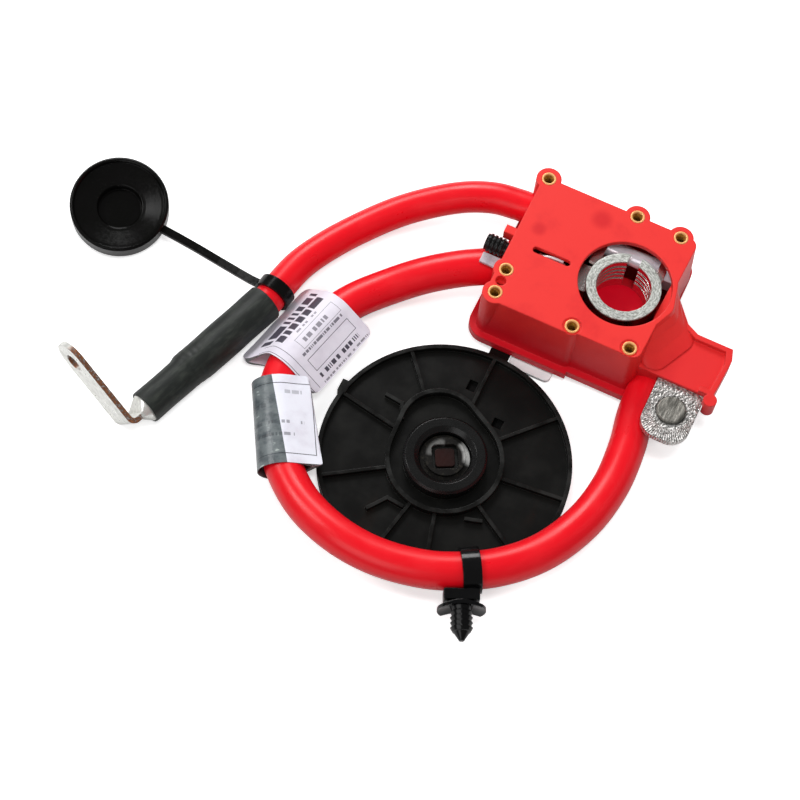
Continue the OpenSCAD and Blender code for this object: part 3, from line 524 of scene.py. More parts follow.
def screen(red: int, green: int, blue: int) -> Colour:
    """Scene colour of a colour as screens show it.

    Args:
        red: from 0 to 255.
        green: from 0 to 255.
        blue: from 0 to 255.

    Returns:
        Red, green and blue from 0 to 1, by the sRGB curve.
    """
    channels = (c / 255 for c in (red, green, blue))
    r, g, b = (c / 12.92 if c <= 0.04045 else ((c + 0.055) / 1.055) ** 2.4 for c in channels)
    return (r, g, b)


class Finish(Protocol):
    """What a piece is dressed in."""

    def material(self) -> bpy.types.Material:
        """Makes the material."""


@dataclass(frozen=True)
class Moulded:
    """Moulded plastic: a colour with a drift, fine grain and slightly rounded edges."""

    name: str
    colour: Colour
    drift: Colour
    roughness: float = 0.45
    grain: float = 0.02 * MM
    grain_scale: float = 2600.0
    gloss: float = 0.5
    edge: float = 0.4 * MM

    def material(self) -> bpy.types.Material:
        """Noise drifts the colour; fine noise gives the roughness and the grain.

        Returns:
            The material.
        """
        g = Graph(self.name)
        place = g.place()
        cloud = g.noise(place, 90.0, 3.0)
        grain = g.noise(place, self.grain_scale)
        return g.finish(
            Base_Color=g.mixed(cloud.ramp(0.35, 0.75), self.colour, self.drift),
            Roughness=grain.ramp(0.2, 0.8, self.roughness - 0.05, self.roughness + 0.07),
            Specular_IOR_Level=self.gloss,
            Normal=g.relief(grain, self.grain, self.edge),
        )


@dataclass(frozen=True)
class HousingRed:
    """Red housing plastic, with faint ejector marks on top, painted shade that deepens the red below the top
    face, and a purer, brighter red in the clamp's well painted as light on its floor.

    A mark is given by its x, y and radius in millimetres.
    """

    name: str = "housing_red"
    colour: Colour = screen(236, 52, 48)
    mark: Colour = screen(208, 28, 36)
    # Painted shade: the darker red that the walls take below the top face.
    low: Colour = screen(202, 16, 32)
    shaded_below: float = 8 * MM
    # Painted light: a brighter, purer red for the floor of the clamp's well.
    well: Colour = (0.95, 0.0, 0.02)
    well_r: float = 9.5 * MM
    well_top: float = 14 * MM
    marks: tuple[tuple[float, float, float], ...] = ((-33.8, 7.4, 3.0), (-16.3, 20.2, 4.2))

    def material(self) -> bpy.types.Material:
        """The colour deepens below the top face as painted shade, and the brighter red in the clamp's well
        is painted light; each mark is a soft disc by distance in the plan.

        Returns:
            The material.
        """
        g = Graph(self.name)
        cloud = g.noise(g.place(), 70.0, 4.0, 0.6)
        grain = g.noise(g.place(), 3200.0)
        spots: Term | float = 0.0
        for x, y, radius in self.marks:
            far = g.around((x, y))[0] / (radius * MM)
            spots = far.ramp(0.3, 1.2, 0.75, 0.0).most(spots)
        inside = (g.around((0.0, 0.0))[0] < self.well_r) * (g.height() < self.well_top)
        # Painted shade: the red darkens from the top face downwards.
        body = g.mixed(g.height().ramp(self.shaded_below, TOP_FACE), self.low, self.colour)
        body = g.mixed(cloud.ramp(0.48, 0.8, 0.0, 0.5), body, self.mark)
        body = g.mixed(spots, body, self.mark)
        return g.finish(
            # Painted light: the floor of the clamp's well takes the brighter red.
            Base_Color=g.mixed(inside, body, self.well),
            Roughness=grain.ramp(0.2, 0.8, 0.36, 0.5) - spots * 0.08,
            Specular_IOR_Level=0.35,
            Normal=g.relief(grain, 0.02 * MM, 0.6 * MM),
        )


@dataclass(frozen=True)
class CableRed:
    """Glossy extruded jacket, with faint streaks along its length."""

    name: str = "cable_red"
    colour: Colour = screen(236, 14, 30)
    pale: Colour = screen(242, 34, 44)

    def material(self) -> bpy.types.Material:
        """Streaks are noise on the map, long along the cable and narrow around it.

        Returns:
            The material.
        """
        g = Graph(self.name)
        streak = g.noise(g.stretched(g.surface(), (18.0, 700.0, 1.0)), 1.0, 3.0)
        dull = g.noise(g.stretched(g.surface(), (55.0, 120.0, 1.0)), 1.0, 4.0, 0.65)
        return g.finish(
            Base_Color=g.mixed(dull.ramp(0.45, 0.8, 0.0, 0.7), self.colour, self.pale),
            Roughness=dull.ramp(0.3, 0.8, 0.27, 0.4),
            Specular_IOR_Level=0.36,
            Normal=g.relief(streak, 0.03 * MM, None),
        )


@dataclass(frozen=True)
class Metal:
    """Plated or cast metal with a mottled surface."""

    name: str
    colour: Colour
    stain: Colour
    roughness: float = 0.3
    mottle: float = 600.0
    depth: float = 0.02 * MM
    edge: float = 0.3 * MM
    metallic: float = 1.0

    def material(self) -> bpy.types.Material:
        """Noise stains and roughens the metal, and a finer one joins it in the relief.

        Returns:
            The material.
        """
        g = Graph(self.name)
        cloud = g.noise(g.place(), self.mottle, 4.0, 0.6)
        fine = g.noise(g.place(), self.mottle * 5)
        return g.finish(
            Base_Color=g.mixed(cloud.ramp(0.4, 0.75), self.colour, self.stain),
            Metallic=self.metallic,
            Roughness=cloud.ramp(0.3, 0.7, self.roughness - 0.08, self.roughness + 0.12),
            Normal=g.relief(cloud * 0.6 + fine * 0.4, self.depth, self.edge),
        )


@dataclass(frozen=True)
class CastClamp:
    """Tinned clamp: a scratched pale crown, and brighter cut metal in the bore and below, tinted pink as a
    painted reflection of the red housing.
    """

    name: str = "tinned_cast"
    dull: Colour = (0.3, 0.305, 0.27)
    pale: Colour = (0.82, 0.83, 0.79)
    stain: Colour = (0.3, 0.31, 0.28)
    # Partly painted reflection: bare cut metal, tinted pink for the red housing that it mirrors.
    cut: Colour = (0.72, 0.64, 0.62)
    rings: float = 2600.0
    arcs: float = 9.0

    def material(self) -> bpy.types.Material:
        """Height tells the crown from the sides; its scratches are noise drawn out round the bore.

        Returns:
            The material.
        """
        g = Graph(self.name)
        radius, x, y = g.around((0.0, 0.0))
        crown = g.height().ramp(TOP_FACE - 0.5 * MM, TOP_FACE)
        lines = g.vector(radius * self.rings, x / radius * self.arcs, y / radius * self.arcs)
        scratch = g.noise(lines, 1.0, 5.0, 0.72)
        patch = g.noise(g.place(), 380.0, 3.0, 0.6)
        face = g.mixed(scratch.ramp(0.36, 0.6), self.dull, self.pale)
        face = g.mixed(patch.ramp(0.55, 0.78, 0.0, 0.6), face, self.stain)
        return g.finish(
            Base_Color=g.mixed(crown, self.cut, face),
            Metallic=crown.ramp(0.0, 1.0, 1.0, 0.7),
            Roughness=crown * scratch.ramp(0.2, 0.8, 0.16, 0.32) + 0.2,
            Normal=g.relief(scratch * 0.7 + patch * 0.3, 0.1 * MM, 0.4 * MM),
        )


@dataclass(frozen=True)
class CrystalLug:
    """Lug with a coarse sparkling coat, fine ribs around its round end and a dark ring around the stud."""

    name: str = "crystal_lug"
    centre: Spot = (30.7, -30.1)
    stud_r: float = 4.9
    ribbed_from: float = 6.3
    ribs: float = 84.0
    shade: Colour = (0.24, 0.23, 0.215)
    bright: Colour = (0.86, 0.84, 0.82)
    stud_ring: Colour = (0.05, 0.05, 0.045)

    def material(self) -> bpy.types.Material:
        """Cells of a quarter millimetre sparkle; ribs are a sine of the angle about the stud.

        Returns:
            The material.
        """
        g = Graph(self.name)
        radius, x, y = g.around(self.centre)
        rib = (y.function("ARCTAN2", x) * self.ribs).function("SINE") * 0.5 + 0.5
        outer = radius.ramp(self.ribbed_from * MM, (self.ribbed_from + 0.7) * MM) * (y < 0.0)
        warp = g.noise(g.place(), 900.0, 3.0, 0.7)
        crystal = g.cells(g.place(), 1250.0) * 0.65 + warp * 0.55
        # Dark ring at the foot of the stud.
        ringed = radius.ramp((self.stud_r + 0.1) * MM, (self.stud_r + 0.75) * MM, 0.85, 0.0)
        coat = g.mixed(crystal.ramp(0.35, 0.85), self.shade, self.bright)
        return g.finish(
            Base_Color=g.mixed(ringed, coat, self.stud_ring),
            Metallic=0.8,
            Roughness=warp.ramp(0.3, 0.7, 0.22, 0.5),
            Normal=g.relief(crystal + outer * (rib * 0.5 - crystal * 0.3), 0.3 * MM, 0.4 * MM),
        )


@dataclass(frozen=True)
class DullStud:
    """Dull stud head with soft uneven arcs."""

    name: str = "stud_steel"
    dark: Colour = (0.18, 0.175, 0.155)
    pale: Colour = (0.54, 0.52, 0.47)

    def material(self) -> bpy.types.Material:
        """The arcs are noise drawn out along Y.

        Returns:
            The material.
        """
        g = Graph(self.name)
        arcs = g.noise(g.stretched(g.place(), (900.0, 200.0, 500.0)), 1.0, 4.0, 0.6)
        patch = g.noise(g.place(), 300.0)
        return g.finish(
            Base_Color=g.mixed(arcs.ramp(0.3, 0.75), self.dark, self.pale),
            Metallic=0.85,
            Roughness=patch.ramp(0.3, 0.7, 0.34, 0.52),
            Normal=g.relief(arcs, 0.3 * MM, 0.5 * MM),
        )


@dataclass(frozen=True)
class SleeveBrass:
    """Brass of the threaded sleeves, bright at the lip, lifted further as a painted highlight, and brown
    below.
    """

    name: str = "brass"
    # Partly painted highlight: bright brass of the lip, raised and made mostly diffuse so that it looks lit.
    bright: Colour = (1.0, 0.52, 0.2)
    deep: Colour = screen(150, 92, 26)
    fleck: Colour = screen(196, 158, 52)
    blur: float = 0.2 * MM

    def material(self) -> bpy.types.Material:
        """Colour and polish follow the height, broken up by noise.

        Returns:
            The material.
        """
        g = Graph(self.name)
        speck = g.noise(g.place(), 1500.0, 3.0, 0.7)
        lip = (g.height() + (speck - 0.5) * self.blur).ramp(TOP_FACE - self.blur, TOP_FACE + self.blur)
        below = g.mixed(speck.ramp(0.45, 0.7), self.deep, self.fleck)
        return g.finish(
            Base_Color=g.mixed(lip, below, self.bright),
            Metallic=lip.ramp(0.0, 1.0, 0.2, 0.3),
            Roughness=lip.ramp(0.0, 1.0, 0.5, 0.3),
            Normal=g.relief(speck, 0.012 * MM, None),
        )


@dataclass(frozen=True)
class LugPlate:
    """Plated strip of the angle lug, rolled about its barrel, with bare copper at its cut edges."""

    name: str = "lug_plate"
    roll: float = 59.0
    bare_from: float = 60.0
    plated: Colour = (0.9, 0.9, 0.86)
    worn: Colour = (0.66, 0.66, 0.62)
    copper: Colour = screen(172, 112, 74)
    brown: Colour = screen(84, 50, 36)

    def material(self) -> bpy.types.Material:
        """A face is a cut edge where its normal lies across the strip, past the crimp.

        Returns:
            The material.
        """
        g = Graph(self.name)
        roll = math.radians(self.roll)
        along_x, along_y, _ = heading(BARREL_TURN)
        across = (-along_y * math.cos(roll), along_x * math.cos(roll), math.sin(roll))
        normal = g.term(g.node("NewGeometry"), "Normal")
        facing = g.term(g.node("VectorMath", {"operation": "DOT_PRODUCT"}, {0: normal, 1: across}), 1)
        x, y, _ = g.axes(g.place())
        start = BARREL_START[0] * along_x + BARREL_START[1] * along_y + self.bare_from
        past_crimp = (x * along_x + y * along_y) > start * MM
        cloud = g.noise(g.place(), 420.0, 4.0, 0.65)
        rust = g.noise(g.place(), 1100.0, 4.0, 0.75)
        edge = facing.function("ABSOLUTE").ramp(0.6, 0.85) * rust.ramp(0.33, 0.5, 0.4, 1.0) * past_crimp
        plate = g.mixed(cloud.ramp(0.35, 0.75), self.plated, self.worn)
        bare = g.mixed(rust.ramp(0.4, 0.7), self.brown, self.copper)
        return g.finish(
            Base_Color=g.mixed(edge, plate, bare),
            Metallic=edge.ramp(0.0, 1.0, 0.6, 0.4),
            Roughness=cloud.ramp(0.3, 0.7, 0.26, 0.44) + edge * 0.18,
            Normal=g.relief(cloud * 0.5 + rust * 0.5, 0.02 * MM),
        )


@dataclass(frozen=True)
class DiscBlack:
    """Black moulding of the cover disc, with rib tops paler, partly wear and partly painted highlight, and
    blind holes painted black as shade.
    """

    name: str = "disc_black"
    web_top: float = 2.4 * MM
    rib_top: float = 4.3 * MM
    colour: Colour = screen(12, 12, 11)
    drift: Colour = screen(19, 19, 17)
    stain: Colour = screen(30, 22, 17)
    # Rib tops: paler, partly wear and partly painted highlight.
    rubbed_and_glint: Colour = screen(44, 45, 44)
    # Painted shade: the floors of the blind holes are painted black.
    hole_shade: Colour = grey(0.0005)

    def material(self) -> bpy.types.Material:
        """Below the web's top it is painted dead black as shade; the ribs' top edges are paler, partly wear
        and partly painted highlight.

        Returns:
            The material.
        """
        g = Graph(self.name)
        cloud = g.noise(g.place(), 110.0, 4.0, 0.6)
        smear = g.noise(g.stretched(g.place(), (60.0, 24.0, 40.0)), 1.0, 3.0, 0.6)
        # Partly wear and partly painted highlight on the ribs' top edges.
        worn = g.height().ramp(self.rib_top - 0.8 * MM, self.rib_top) * cloud.ramp(0.4, 0.65)
        plain = g.mixed(cloud.ramp(0.4, 0.8), self.colour, self.drift)
        plain = g.mixed(smear.ramp(0.58, 0.74, 0.0, 0.5), plain, self.stain)
        plain = g.mixed(worn * 0.7, plain, self.rubbed_and_glint)
        # Painted shade: everything below the web's top is painted black.
        deep = g.height() < self.web_top - 0.3 * MM
        return g.finish(
            Base_Color=g.mixed(deep, plain, self.hole_shade),
            Roughness=cloud.ramp(0.3, 0.7, 0.3, 0.42) + deep * 0.5,
            Specular_IOR_Level=0.2,
            Normal=g.relief(cloud, 0.05 * MM),
        )


@dataclass(frozen=True)
class Crescent:
    """Painted highlight round a centre: its bearing in degrees, least cosine to it, radius and grey."""

    bearing: float
    least: float
    radius: float
    level: float


@dataclass(frozen=True)
class HubContact:
    """Contact in the hub: painted nearly black as shade deep down in the hub, with two crescents of painted
    highlight.
    """

    name: str = "hub_contact"
    centre: Spot = (-30.0, -73.0)
    # Painted shade: the contact sits deep in the hub, so it is painted nearly black, drifting slightly
    # lighter.
    contact_shade: Colour = (0.008, 0.0075, 0.007)
    smear: Colour = (0.03, 0.027, 0.02)
    # Painted highlight: two bright crescents of reflection.
    glints: tuple[Crescent, ...] = (Crescent(158.0, 0.68, 4.6, 0.22), Crescent(38.0, 0.8, 7.5, 0.7))

    def material(self) -> bpy.types.Material:
        """A crescent shows where the direction's cosine to its bearing is high, near its radius.

        Returns:
            The material.
        """
        g = Graph(self.name)
        radius, x, y = g.around(self.centre)
        speck = g.noise(g.place(), 700.0, 4.0, 0.65)
        # Painted shade: nearly black, with a slight drift.
        colour = g.mixed(speck.ramp(0.5, 0.75), self.contact_shade, self.smear)
        shine: Term | float = 0.0
        # Painted highlight: each crescent lightens the colour and makes it metallic.
        for item in self.glints:
            toward_x, toward_y, _ = heading(item.bearing)
            cosine = x / radius * toward_x + y / radius * toward_y
            near = ((radius - item.radius * MM).function("ABSOLUTE") / MM).ramp(0.6, 2.2, 1.0, 0.0)
            patch = cosine.ramp(item.least, item.least + 0.2) * near * speck.ramp(0.3, 0.5, 0.55, 1.0)
            colour = g.mixed(patch, colour, (item.level, item.level, item.level * 0.97))
            shine = patch.most(shine)
        return g.finish(
            Base_Color=colour,
            Metallic=shine,
            Roughness=speck.ramp(0.3, 0.7, 0.3, 0.44),
            Specular_IOR_Level=0.15,
            Normal=g.relief(speck, 0.02 * MM, 0.3 * MM),
        )


@dataclass(frozen=True)
class ShrinkBlack:
    """Shrunk sleeve: green-grey black, satin, scuffed along its length."""

    name: str = "shrink_black"
    colour: Colour = screen(33, 36, 34)
    scuffed: Colour = screen(54, 58, 53)

    def material(self) -> bpy.types.Material:
        """Scuffs are long noise on the map; a fine net of noise dulls the surface.

        Returns:
            The material.
        """
        g = Graph(self.name)
        scuff = g.noise(g.stretched(g.surface(), (140.0, 520.0, 1.0)), 1.0, 4.0, 0.6)
        fine = g.noise(g.place(), 2400.0)
        return g.finish(
            Base_Color=g.mixed(scuff.ramp(0.42, 0.75), self.colour, self.scuffed),
            Roughness=scuff.ramp(0.3, 0.7, 0.42, 0.58),
            Specular_IOR_Level=0.35,
            Normal=g.relief(scuff * 0.7 + fine * 0.3, 0.06 * MM, None),
        )


@dataclass(frozen=True)
class Print:
    """Part of a label's print, in millimetres along and across the label.

    It is a frame where it has a line's width, bars where it has a pitch, and else a full box.
    A share of the bars has ink; turned bars lie along the label.
    """

    low: Spot
    high: Spot
    line: float = 0.0
    pitch: float = 0.0
    share: float = 0.5
    seed: float = 0.0
    turned: bool = False
    ink: float = 1.0

    def mask(self, g: Graph, x: Term, y: Term) -> Term:
        """A box, the line round a box, or a box cut into cells with ink in a share of them.

        Args:
            g: the graph.
            x: millimetres along the label.
            y: millimetres across it.

        Returns:
            How much ink there is, from 0 to 1.
        """
        (x0, y0), (x1, y1) = self.low, self.high
        whole = x.within(x0, x1) * y.within(y0, y1)
        if self.line:
            w = self.line
            whole = whole - x.within(x0 + w, x1 - w) * y.within(y0 + w, y1 - w)
        elif self.pitch:
            cell = ((y if self.turned else x) / self.pitch).function("FLOOR") + self.seed
            draw = g.term(g.node("TexWhiteNoise", {"noise_dimensions": "1D"}, {"W": cell}))
            whole = whole * (draw < self.share)
        return whole * self.ink


@dataclass(frozen=True)
class PrintedPaper:
    """Label paper with empty frames, rules and rows of plain bars, and a film over one side."""

    name: str
    colour: Colour
    ink: Colour
    prints: tuple[Print, ...]
    film_from: float = 99.0
    film_lean: float = 0.0
    # Painted shade: the darker colour of the paper along its creases.
    crease_and_shade: Colour = screen(206, 200, 214)
    film: Colour = screen(76, 83, 87)
    film_drift: Colour = screen(112, 119, 121)
    film_shine: Colour = screen(186, 194, 190)

    def material(self) -> bpy.types.Material:
        """Adds up the print's masks over creased paper, painted darker along its creases as shade; the film
        starts past a leaning line.

        Returns:
            The material.
        """
        g = Graph(self.name)
        along, across, _ = g.axes(g.surface())
        x, y = along * (1 / MM), across * (1 / MM)
        ink: Term | float = 0.0
        for item in self.prints:
            ink = item.mask(g, x, y).most(ink)
        crease_and_shade = g.noise(g.place(), 130.0, 4.0, 0.6)
        fibre = g.noise(g.place(), 2600.0)
        blur = g.noise(g.stretched(g.surface(), (260.0, 150.0, 1.0)), 1.0, 3.0, 0.6)
        filmed = (y + x * self.film_lean) > self.film_from
        # Painted shade darkens the paper where its creases bump.
        paper = g.mixed(crease_and_shade.ramp(0.4, 0.75, 0.0, 0.5), self.colour, self.crease_and_shade)
        film = g.mixed(blur.ramp(0.3, 0.6), self.film, self.film_drift)
        film = g.mixed(blur.ramp(0.62, 0.74), film, self.film_shine)
        sheet = g.mixed(filmed, paper, film)
        return g.finish(
            Base_Color=g.mixed(ink * (0.95 - filmed * 0.25), sheet, self.ink),
            Roughness=0.5 - filmed * 0.25,
            Normal=g.relief(crease_and_shade * 0.9 + fibre * 0.1, 0.25 * MM, None),
        )


def dress(
    piece: bpy.types.Object, material: bpy.types.Material, slot: Slot, replaced: Sequence[str] = ()
) -> bpy.types.Object:
    """Gives a piece its material and logs its slot, and gives a new one its body.

    Args:
        piece: new piece, or a node of the frame.
        material: its finish.
        slot: the record's slot it stands for.
        replaced: nodes of the frame that it stands for.

    Returns:
        The same piece.
    """
    piece.data.materials.clear()
    piece.data.materials.append(material)
    if "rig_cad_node" not in piece:
        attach(piece, ROOT_BODY)
    if replaced:
        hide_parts(*replaced)
    LOG.info("%s: %d faces, %s", piece.name, len(piece.data.polygons), slot.value)
    return piece


@dataclass(frozen=True)
class Lamp:
    """Square area lamp: where it hangs, the length of its side and its power in watts.

    One that isn't mirrored lights matt surfaces only.
    """

    name: str
    place: Point
    size: float
    power: float
    mirrored: bool = True

    def hang(self, aim: Point) -> None:
        """Hangs the lamp.

        Args:
            aim: the point that it faces, in metres.
        """
        data = bpy.data.lights.new(self.name, "AREA")
        data.size, data.energy = self.size, self.power
        stand = placed(bpy.data.objects.new(self.name, data))
        stand.location = self.place
        stand.rotation_mode = "QUATERNION"
        stand.rotation_quaternion = (Vector(aim) - Vector(self.place)).to_track_quat("-Z", "Y")
        stand.visible_glossy = self.mirrored


@dataclass
class Studio:
    """Camera, lamps, sky and floor, in metres.

    A wide soft lamp hangs behind on the left, and weaker ones on three sides and above.
    None stands where a level face would mirror it to the camera.
    """

    place: Point = (0.0498, -0.3652, 0.6754)
    look: Point = (-0.137, 0.410, -0.902)
    upward: Point = (-0.403, 0.809, 0.429)
    lens: float = 101.2
    sensor: float = 36.0
    near: float = 0.01
    far: float = 20.0
    aim: Point = (-0.06, -0.04, 0.0)
    lamps: tuple[Lamp, ...] = (
        Lamp("key", (-0.62, 0.84, 0.78), 0.5, 8.0),
        Lamp("fill", (-0.85, -0.20, 0.80), 0.4, 3.8),
        Lamp("rim", (0.80, 0.40, 0.75), 0.5, 2.2, mirrored=False),
        Lamp("front", (-0.25, -0.95, 0.75), 0.7, 2.6),
        Lamp("top", (0.12, -0.14, 1.3), 0.3, 4.8, mirrored=False),
    )
    sky: float = 0.2
    floor_size: float = 6.0
    seen_floor: Colour = grey(0.97)
    lit_floor: Colour = grey(0.42)
    lift: float = 0.55

    def camera(self) -> None:
        """Stands the camera where the photograph was taken from."""
        data = bpy.data.cameras.new("viewpoint")
        data.lens, data.sensor_width = self.lens, self.sensor
        data.clip_start, data.clip_end = self.near, self.far
        stand = placed(bpy.data.objects.new("viewpoint", data))
        back = -Vector(self.look).normalized()
        right = Vector(self.upward).cross(back).normalized()
        turn = Matrix((right, back.cross(right), back)).transposed()
        stand.matrix_world = Matrix.Translation(self.place) @ turn.to_4x4()
        bpy.context.scene.camera = stand

    def light(self) -> None:
        """Hangs the lamps and sets the sky."""
        for lamp in self.lamps:
            lamp.hang(self.aim)
        world = bpy.data.worlds.new("sky")
        bpy.context.scene.world = world
        world.use_nodes = True
        sky = world.node_tree.nodes["Background"]
        sky.inputs["Color"].default_value = opaque(grey(1.0))
        sky.inputs["Strength"].default_value = self.sky
        bpy.context.scene.view_settings.view_transform = "Standard"

    def floor(self) -> None:
        """White paper that looks white to camera and gloss, but throws back less light.

        It glows a little towards the camera, which keeps it white and its shadows soft.
        """
        g = Graph("floor_paper")
        path = g.node("LightPath")
        to_camera = g.term(path, "Is Camera Ray")
        seen = to_camera.most(g.term(path, "Is Glossy Ray")).most(g.term(path, "Is Transmission Ray"))
        material = g.finish(
            Base_Color=g.mixed(seen, self.lit_floor, self.seen_floor),
            Roughness=1.0,
            Specular_IOR_Level=0.0,
            Emission_Color=g.mixed(to_camera, grey(0.0), grey(1.0)),
            Emission_Strength=self.lift,
        )
        half = self.floor_size / 2
        mesh = bpy.data.meshes.new("floor")
        corners = [(-half, -half, 0), (half, -half, 0), (half, half, 0), (-half, half, 0)]
        mesh.from_pydata(corners, [], [(0, 1, 2, 3)])
        mesh.materials.append(material)
        placed(bpy.data.objects.new("floor", mesh))


@dataclass
class Cables:
    """The two red cables, along the routes of the part's source, in millimetres and degrees."""

    loop_d: float = 12.4
    branch_d: float = 10.8
    loop_exit: float = 205.0
    branch_exit: float = 186.0
    loop_inside: float = 5.0
    branch_inside: float = 4.0
    branch_tail: tuple[float, float] = (12.0, 30.0)
    waver: float = 0.03
    sides: int = 40
    loop_points: tuple[Point, ...] = (
        (-41.5, -3.5, 12.3), (-45.6, -5.5, 12.3), (-53.8, -10.2, 11.6), (-63.6, -16.9, 9.8),
        (-72.7, -25, 7.8), (-81, -34.8, 7.1), (-86.8, -46, 7), (-90.3, -57.5, 7), (-90.8, -69.5, 7),
        (-88, -81, 7), (-82, -92, 7), (-74.4, -101, 7.4), (-63.4, -109.8, 9.8),
        (-50.3, -115.2, 11.8), (-37, -116.8, 12.2), (-24, -115.3, 12.4), (-12, -111.3, 12.4),
        (1.6, -103, 12), (12.5, -91.2, 11), (19.8, -75.6, 9.4), (22.8, -59.5, 8.2),
        (22.4, -44.5, 7.8), (20.6, -33.5, 8.1), (20, -25.5, 8.3), (20, -17, 8.3),
    )  # fmt: skip
    branch_points: tuple[Point, ...] = (
        (-41.5, 21.2, 13.3), (-46, 20.9, 13.2), (-54, 19.7, 13), (-63, 16.3, 12),
        (-72.5, 10.8, 9.8), (-82, 3, 7.8), (-90.5, -7, 6.6), (-98, -18.5, 6.4), (-103.4, -30, 6.6),
        (-106, -41, 6.7), BARREL_START,
    )  # fmt: skip

    def loop_route(self) -> Route:
        """Loop cable's route, from inside the housing's left wall round to the lug's socket."""
        inside = ahead(self.loop_points[0], self.loop_exit, -self.loop_inside)
        return Route((inside, *self.loop_points))

    def branch_route(self) -> Route:
        """Branch cable's route, from the housing into the shrink sleeve, straight at its end.

        Returns:
            The route.
        """
        inside = ahead(self.branch_points[0], self.branch_exit, -self.branch_inside)
        tail = (ahead(BARREL_START, BARREL_TURN, s) for s in self.branch_tail)
        return Route((inside, *self.branch_points, *tail))

    def tube(self, name: str, path: np.ndarray, diameter: float) -> bpy.types.Object:
        """Makes a jacket as a circle carried along a path.

        The radius wavers by w (sin 70s + sin(61s + 2a)) at the run s in metres and the angle a,
        as an extruded jacket's does.

        Args:
            name: the piece's name.
            path: its centreline, in metres.
            diameter: in millimetres.

        Returns:
            The mesh object.
        """
        run = run_of(path)[:, None]
        a = circle(self.sides)
        radius = diameter / 2 * MM + self.waver * MM * (np.sin(run * 70) + np.sin(run * 61 + 2 * a))
        skin = Skin()
        skin.rod(carried(path, radius * np.cos(a), radius * np.sin(a)), run[:, 0], rim(diameter, self.sides))
        return skin.piece(name)

    def lay(
        self,
        name: str,
        node: str,
        route: Route,
        diameter: float,
    ) -> None:
        """Makes and dresses a cable.

        Args:
            name: the piece's name.
            node: the frame's cable that it stands for.
            route: its centreline.
            diameter: in millimetres.
        """
        path = route.line()
        piece = dress(self.tube(name, path, diameter), CableRed().material(), Slot.CABLE, [node])

    def build(self, on_loop: Sequence[bpy.types.Object], on_branch: Sequence[bpy.types.Object]) -> None:
        """Makes both cables.

        Args:
            on_loop: the separate pieces on the loop cable; not used.
            on_branch: the separate pieces on the branch cable; not used.
        """
        self.lay("loop_jacket", "loop_cable", self.loop_route(), self.loop_d)
        self.lay("branch_jacket", "branch_cable", self.branch_route(), self.branch_d)


@dataclass
class ShrinkSleeve:
    """Sleeve shrunk over the branch cable's end and the lug's barrel, in millimetres."""

    length: float = 55.6
    wide: float = 13.4
    narrow: float = 12.0
    step: float = 33.0
    step_lean: float = 3.4
    step_over: float = 5.5
    step_spread: float = 2.5
    step_side: float = 0.6
    wrinkle: float = 0.07
    wrinkles_over: float = 4.5
    wrinkled_side: float = 2.2
    fold: float = 0.05
    inset: float = 0.1
    roll: float = 0.03
    roll_over: float = 0.35
    mouth: float = 10.9
    tail: float = 10.5
    taper: float = 5.0
    sides: int = 64
    rows: int = 150

    def radius(self, s: np.ndarray, a: np.ndarray) -> np.ndarray:
        """Outer radius.

        It falls from wide to narrow with a smooth step, whose place and length go with the
        cosine of the angle. Rings of wrinkles, a sine of s under a bell curve, lie near the step
        on one side, two slow sines fold the whole sleeve, and both ends roll in.

        Args:
            s: column of distances along the sleeve.
            a: row of angles round it.

        Returns:
            Array of distances × angles.
        """
        lean = np.cos(a - self.step_side)
        start, over = self.step + self.step_lean * lean, self.step_over - self.step_spread * lean
        fall = smooth_step((s - start) / over)
        wrinkles = np.sin(s * 2.6 + 1.2 * np.sin(2 * a)) * bell(s, self.step + 1, self.wrinkles_over)
        wrinkles *= 0.5 + 0.5 * np.cos(a - self.wrinkled_side)
        folds = np.sin(3 * a + s * 0.11) + np.sin(s * 0.35 + 2 * a)
        radius = self.wide / 2 + (self.narrow - self.wide) / 2 * fall - self.inset
        radius = radius + self.wrinkle * wrinkles + self.fold * folds
        ends = bell(s, 0, self.roll_over) + bell(s, self.length, self.roll_over)
        return radius * (1 - self.roll * ends)

    def wall(self, s: np.ndarray, radius: np.ndarray) -> np.ndarray:
        """Net of a wall round the barrel's axis.

        Args:
            s: column of distances along the sleeve.
            radius: a row for each distance, or one number in it.

        Returns:
            Array of distances × sides × 3, in metres.
        """
        a = circle(self.sides)
        axis = (np.array(BARREL_START) + heading(BARREL_TURN) * s) * MM
        return carried(axis, radius * np.cos(a) * MM, radius * np.sin(a) * MM)

    def build(self) -> bpy.types.Object:
        """Makes the wavy outside and the bore, which narrows from the mouth to the tail.

        Returns:
            The piece.
        """
        s = np.linspace(0, self.length, self.rows)[:, None]
        inside = np.array([0.0, self.taper, self.length - self.taper, self.length])[:, None]
        bore = np.array([self.mouth, self.mouth, self.tail, self.tail])[:, None] / 2
        outer, inner = self.wall(s, self.radius(s, circle(self.sides))), self.wall(inside, bore)
        skin = Skin()
        skin.shell(outer, inner, s[:, 0] * MM, inside[:, 0] * MM, rim(self.wide, self.sides))
        piece = skin.piece("shrunk_sleeve")
        return dress(piece, ShrinkBlack().material(), Slot.SHRINK, ["heat_shrink_sleeve"])


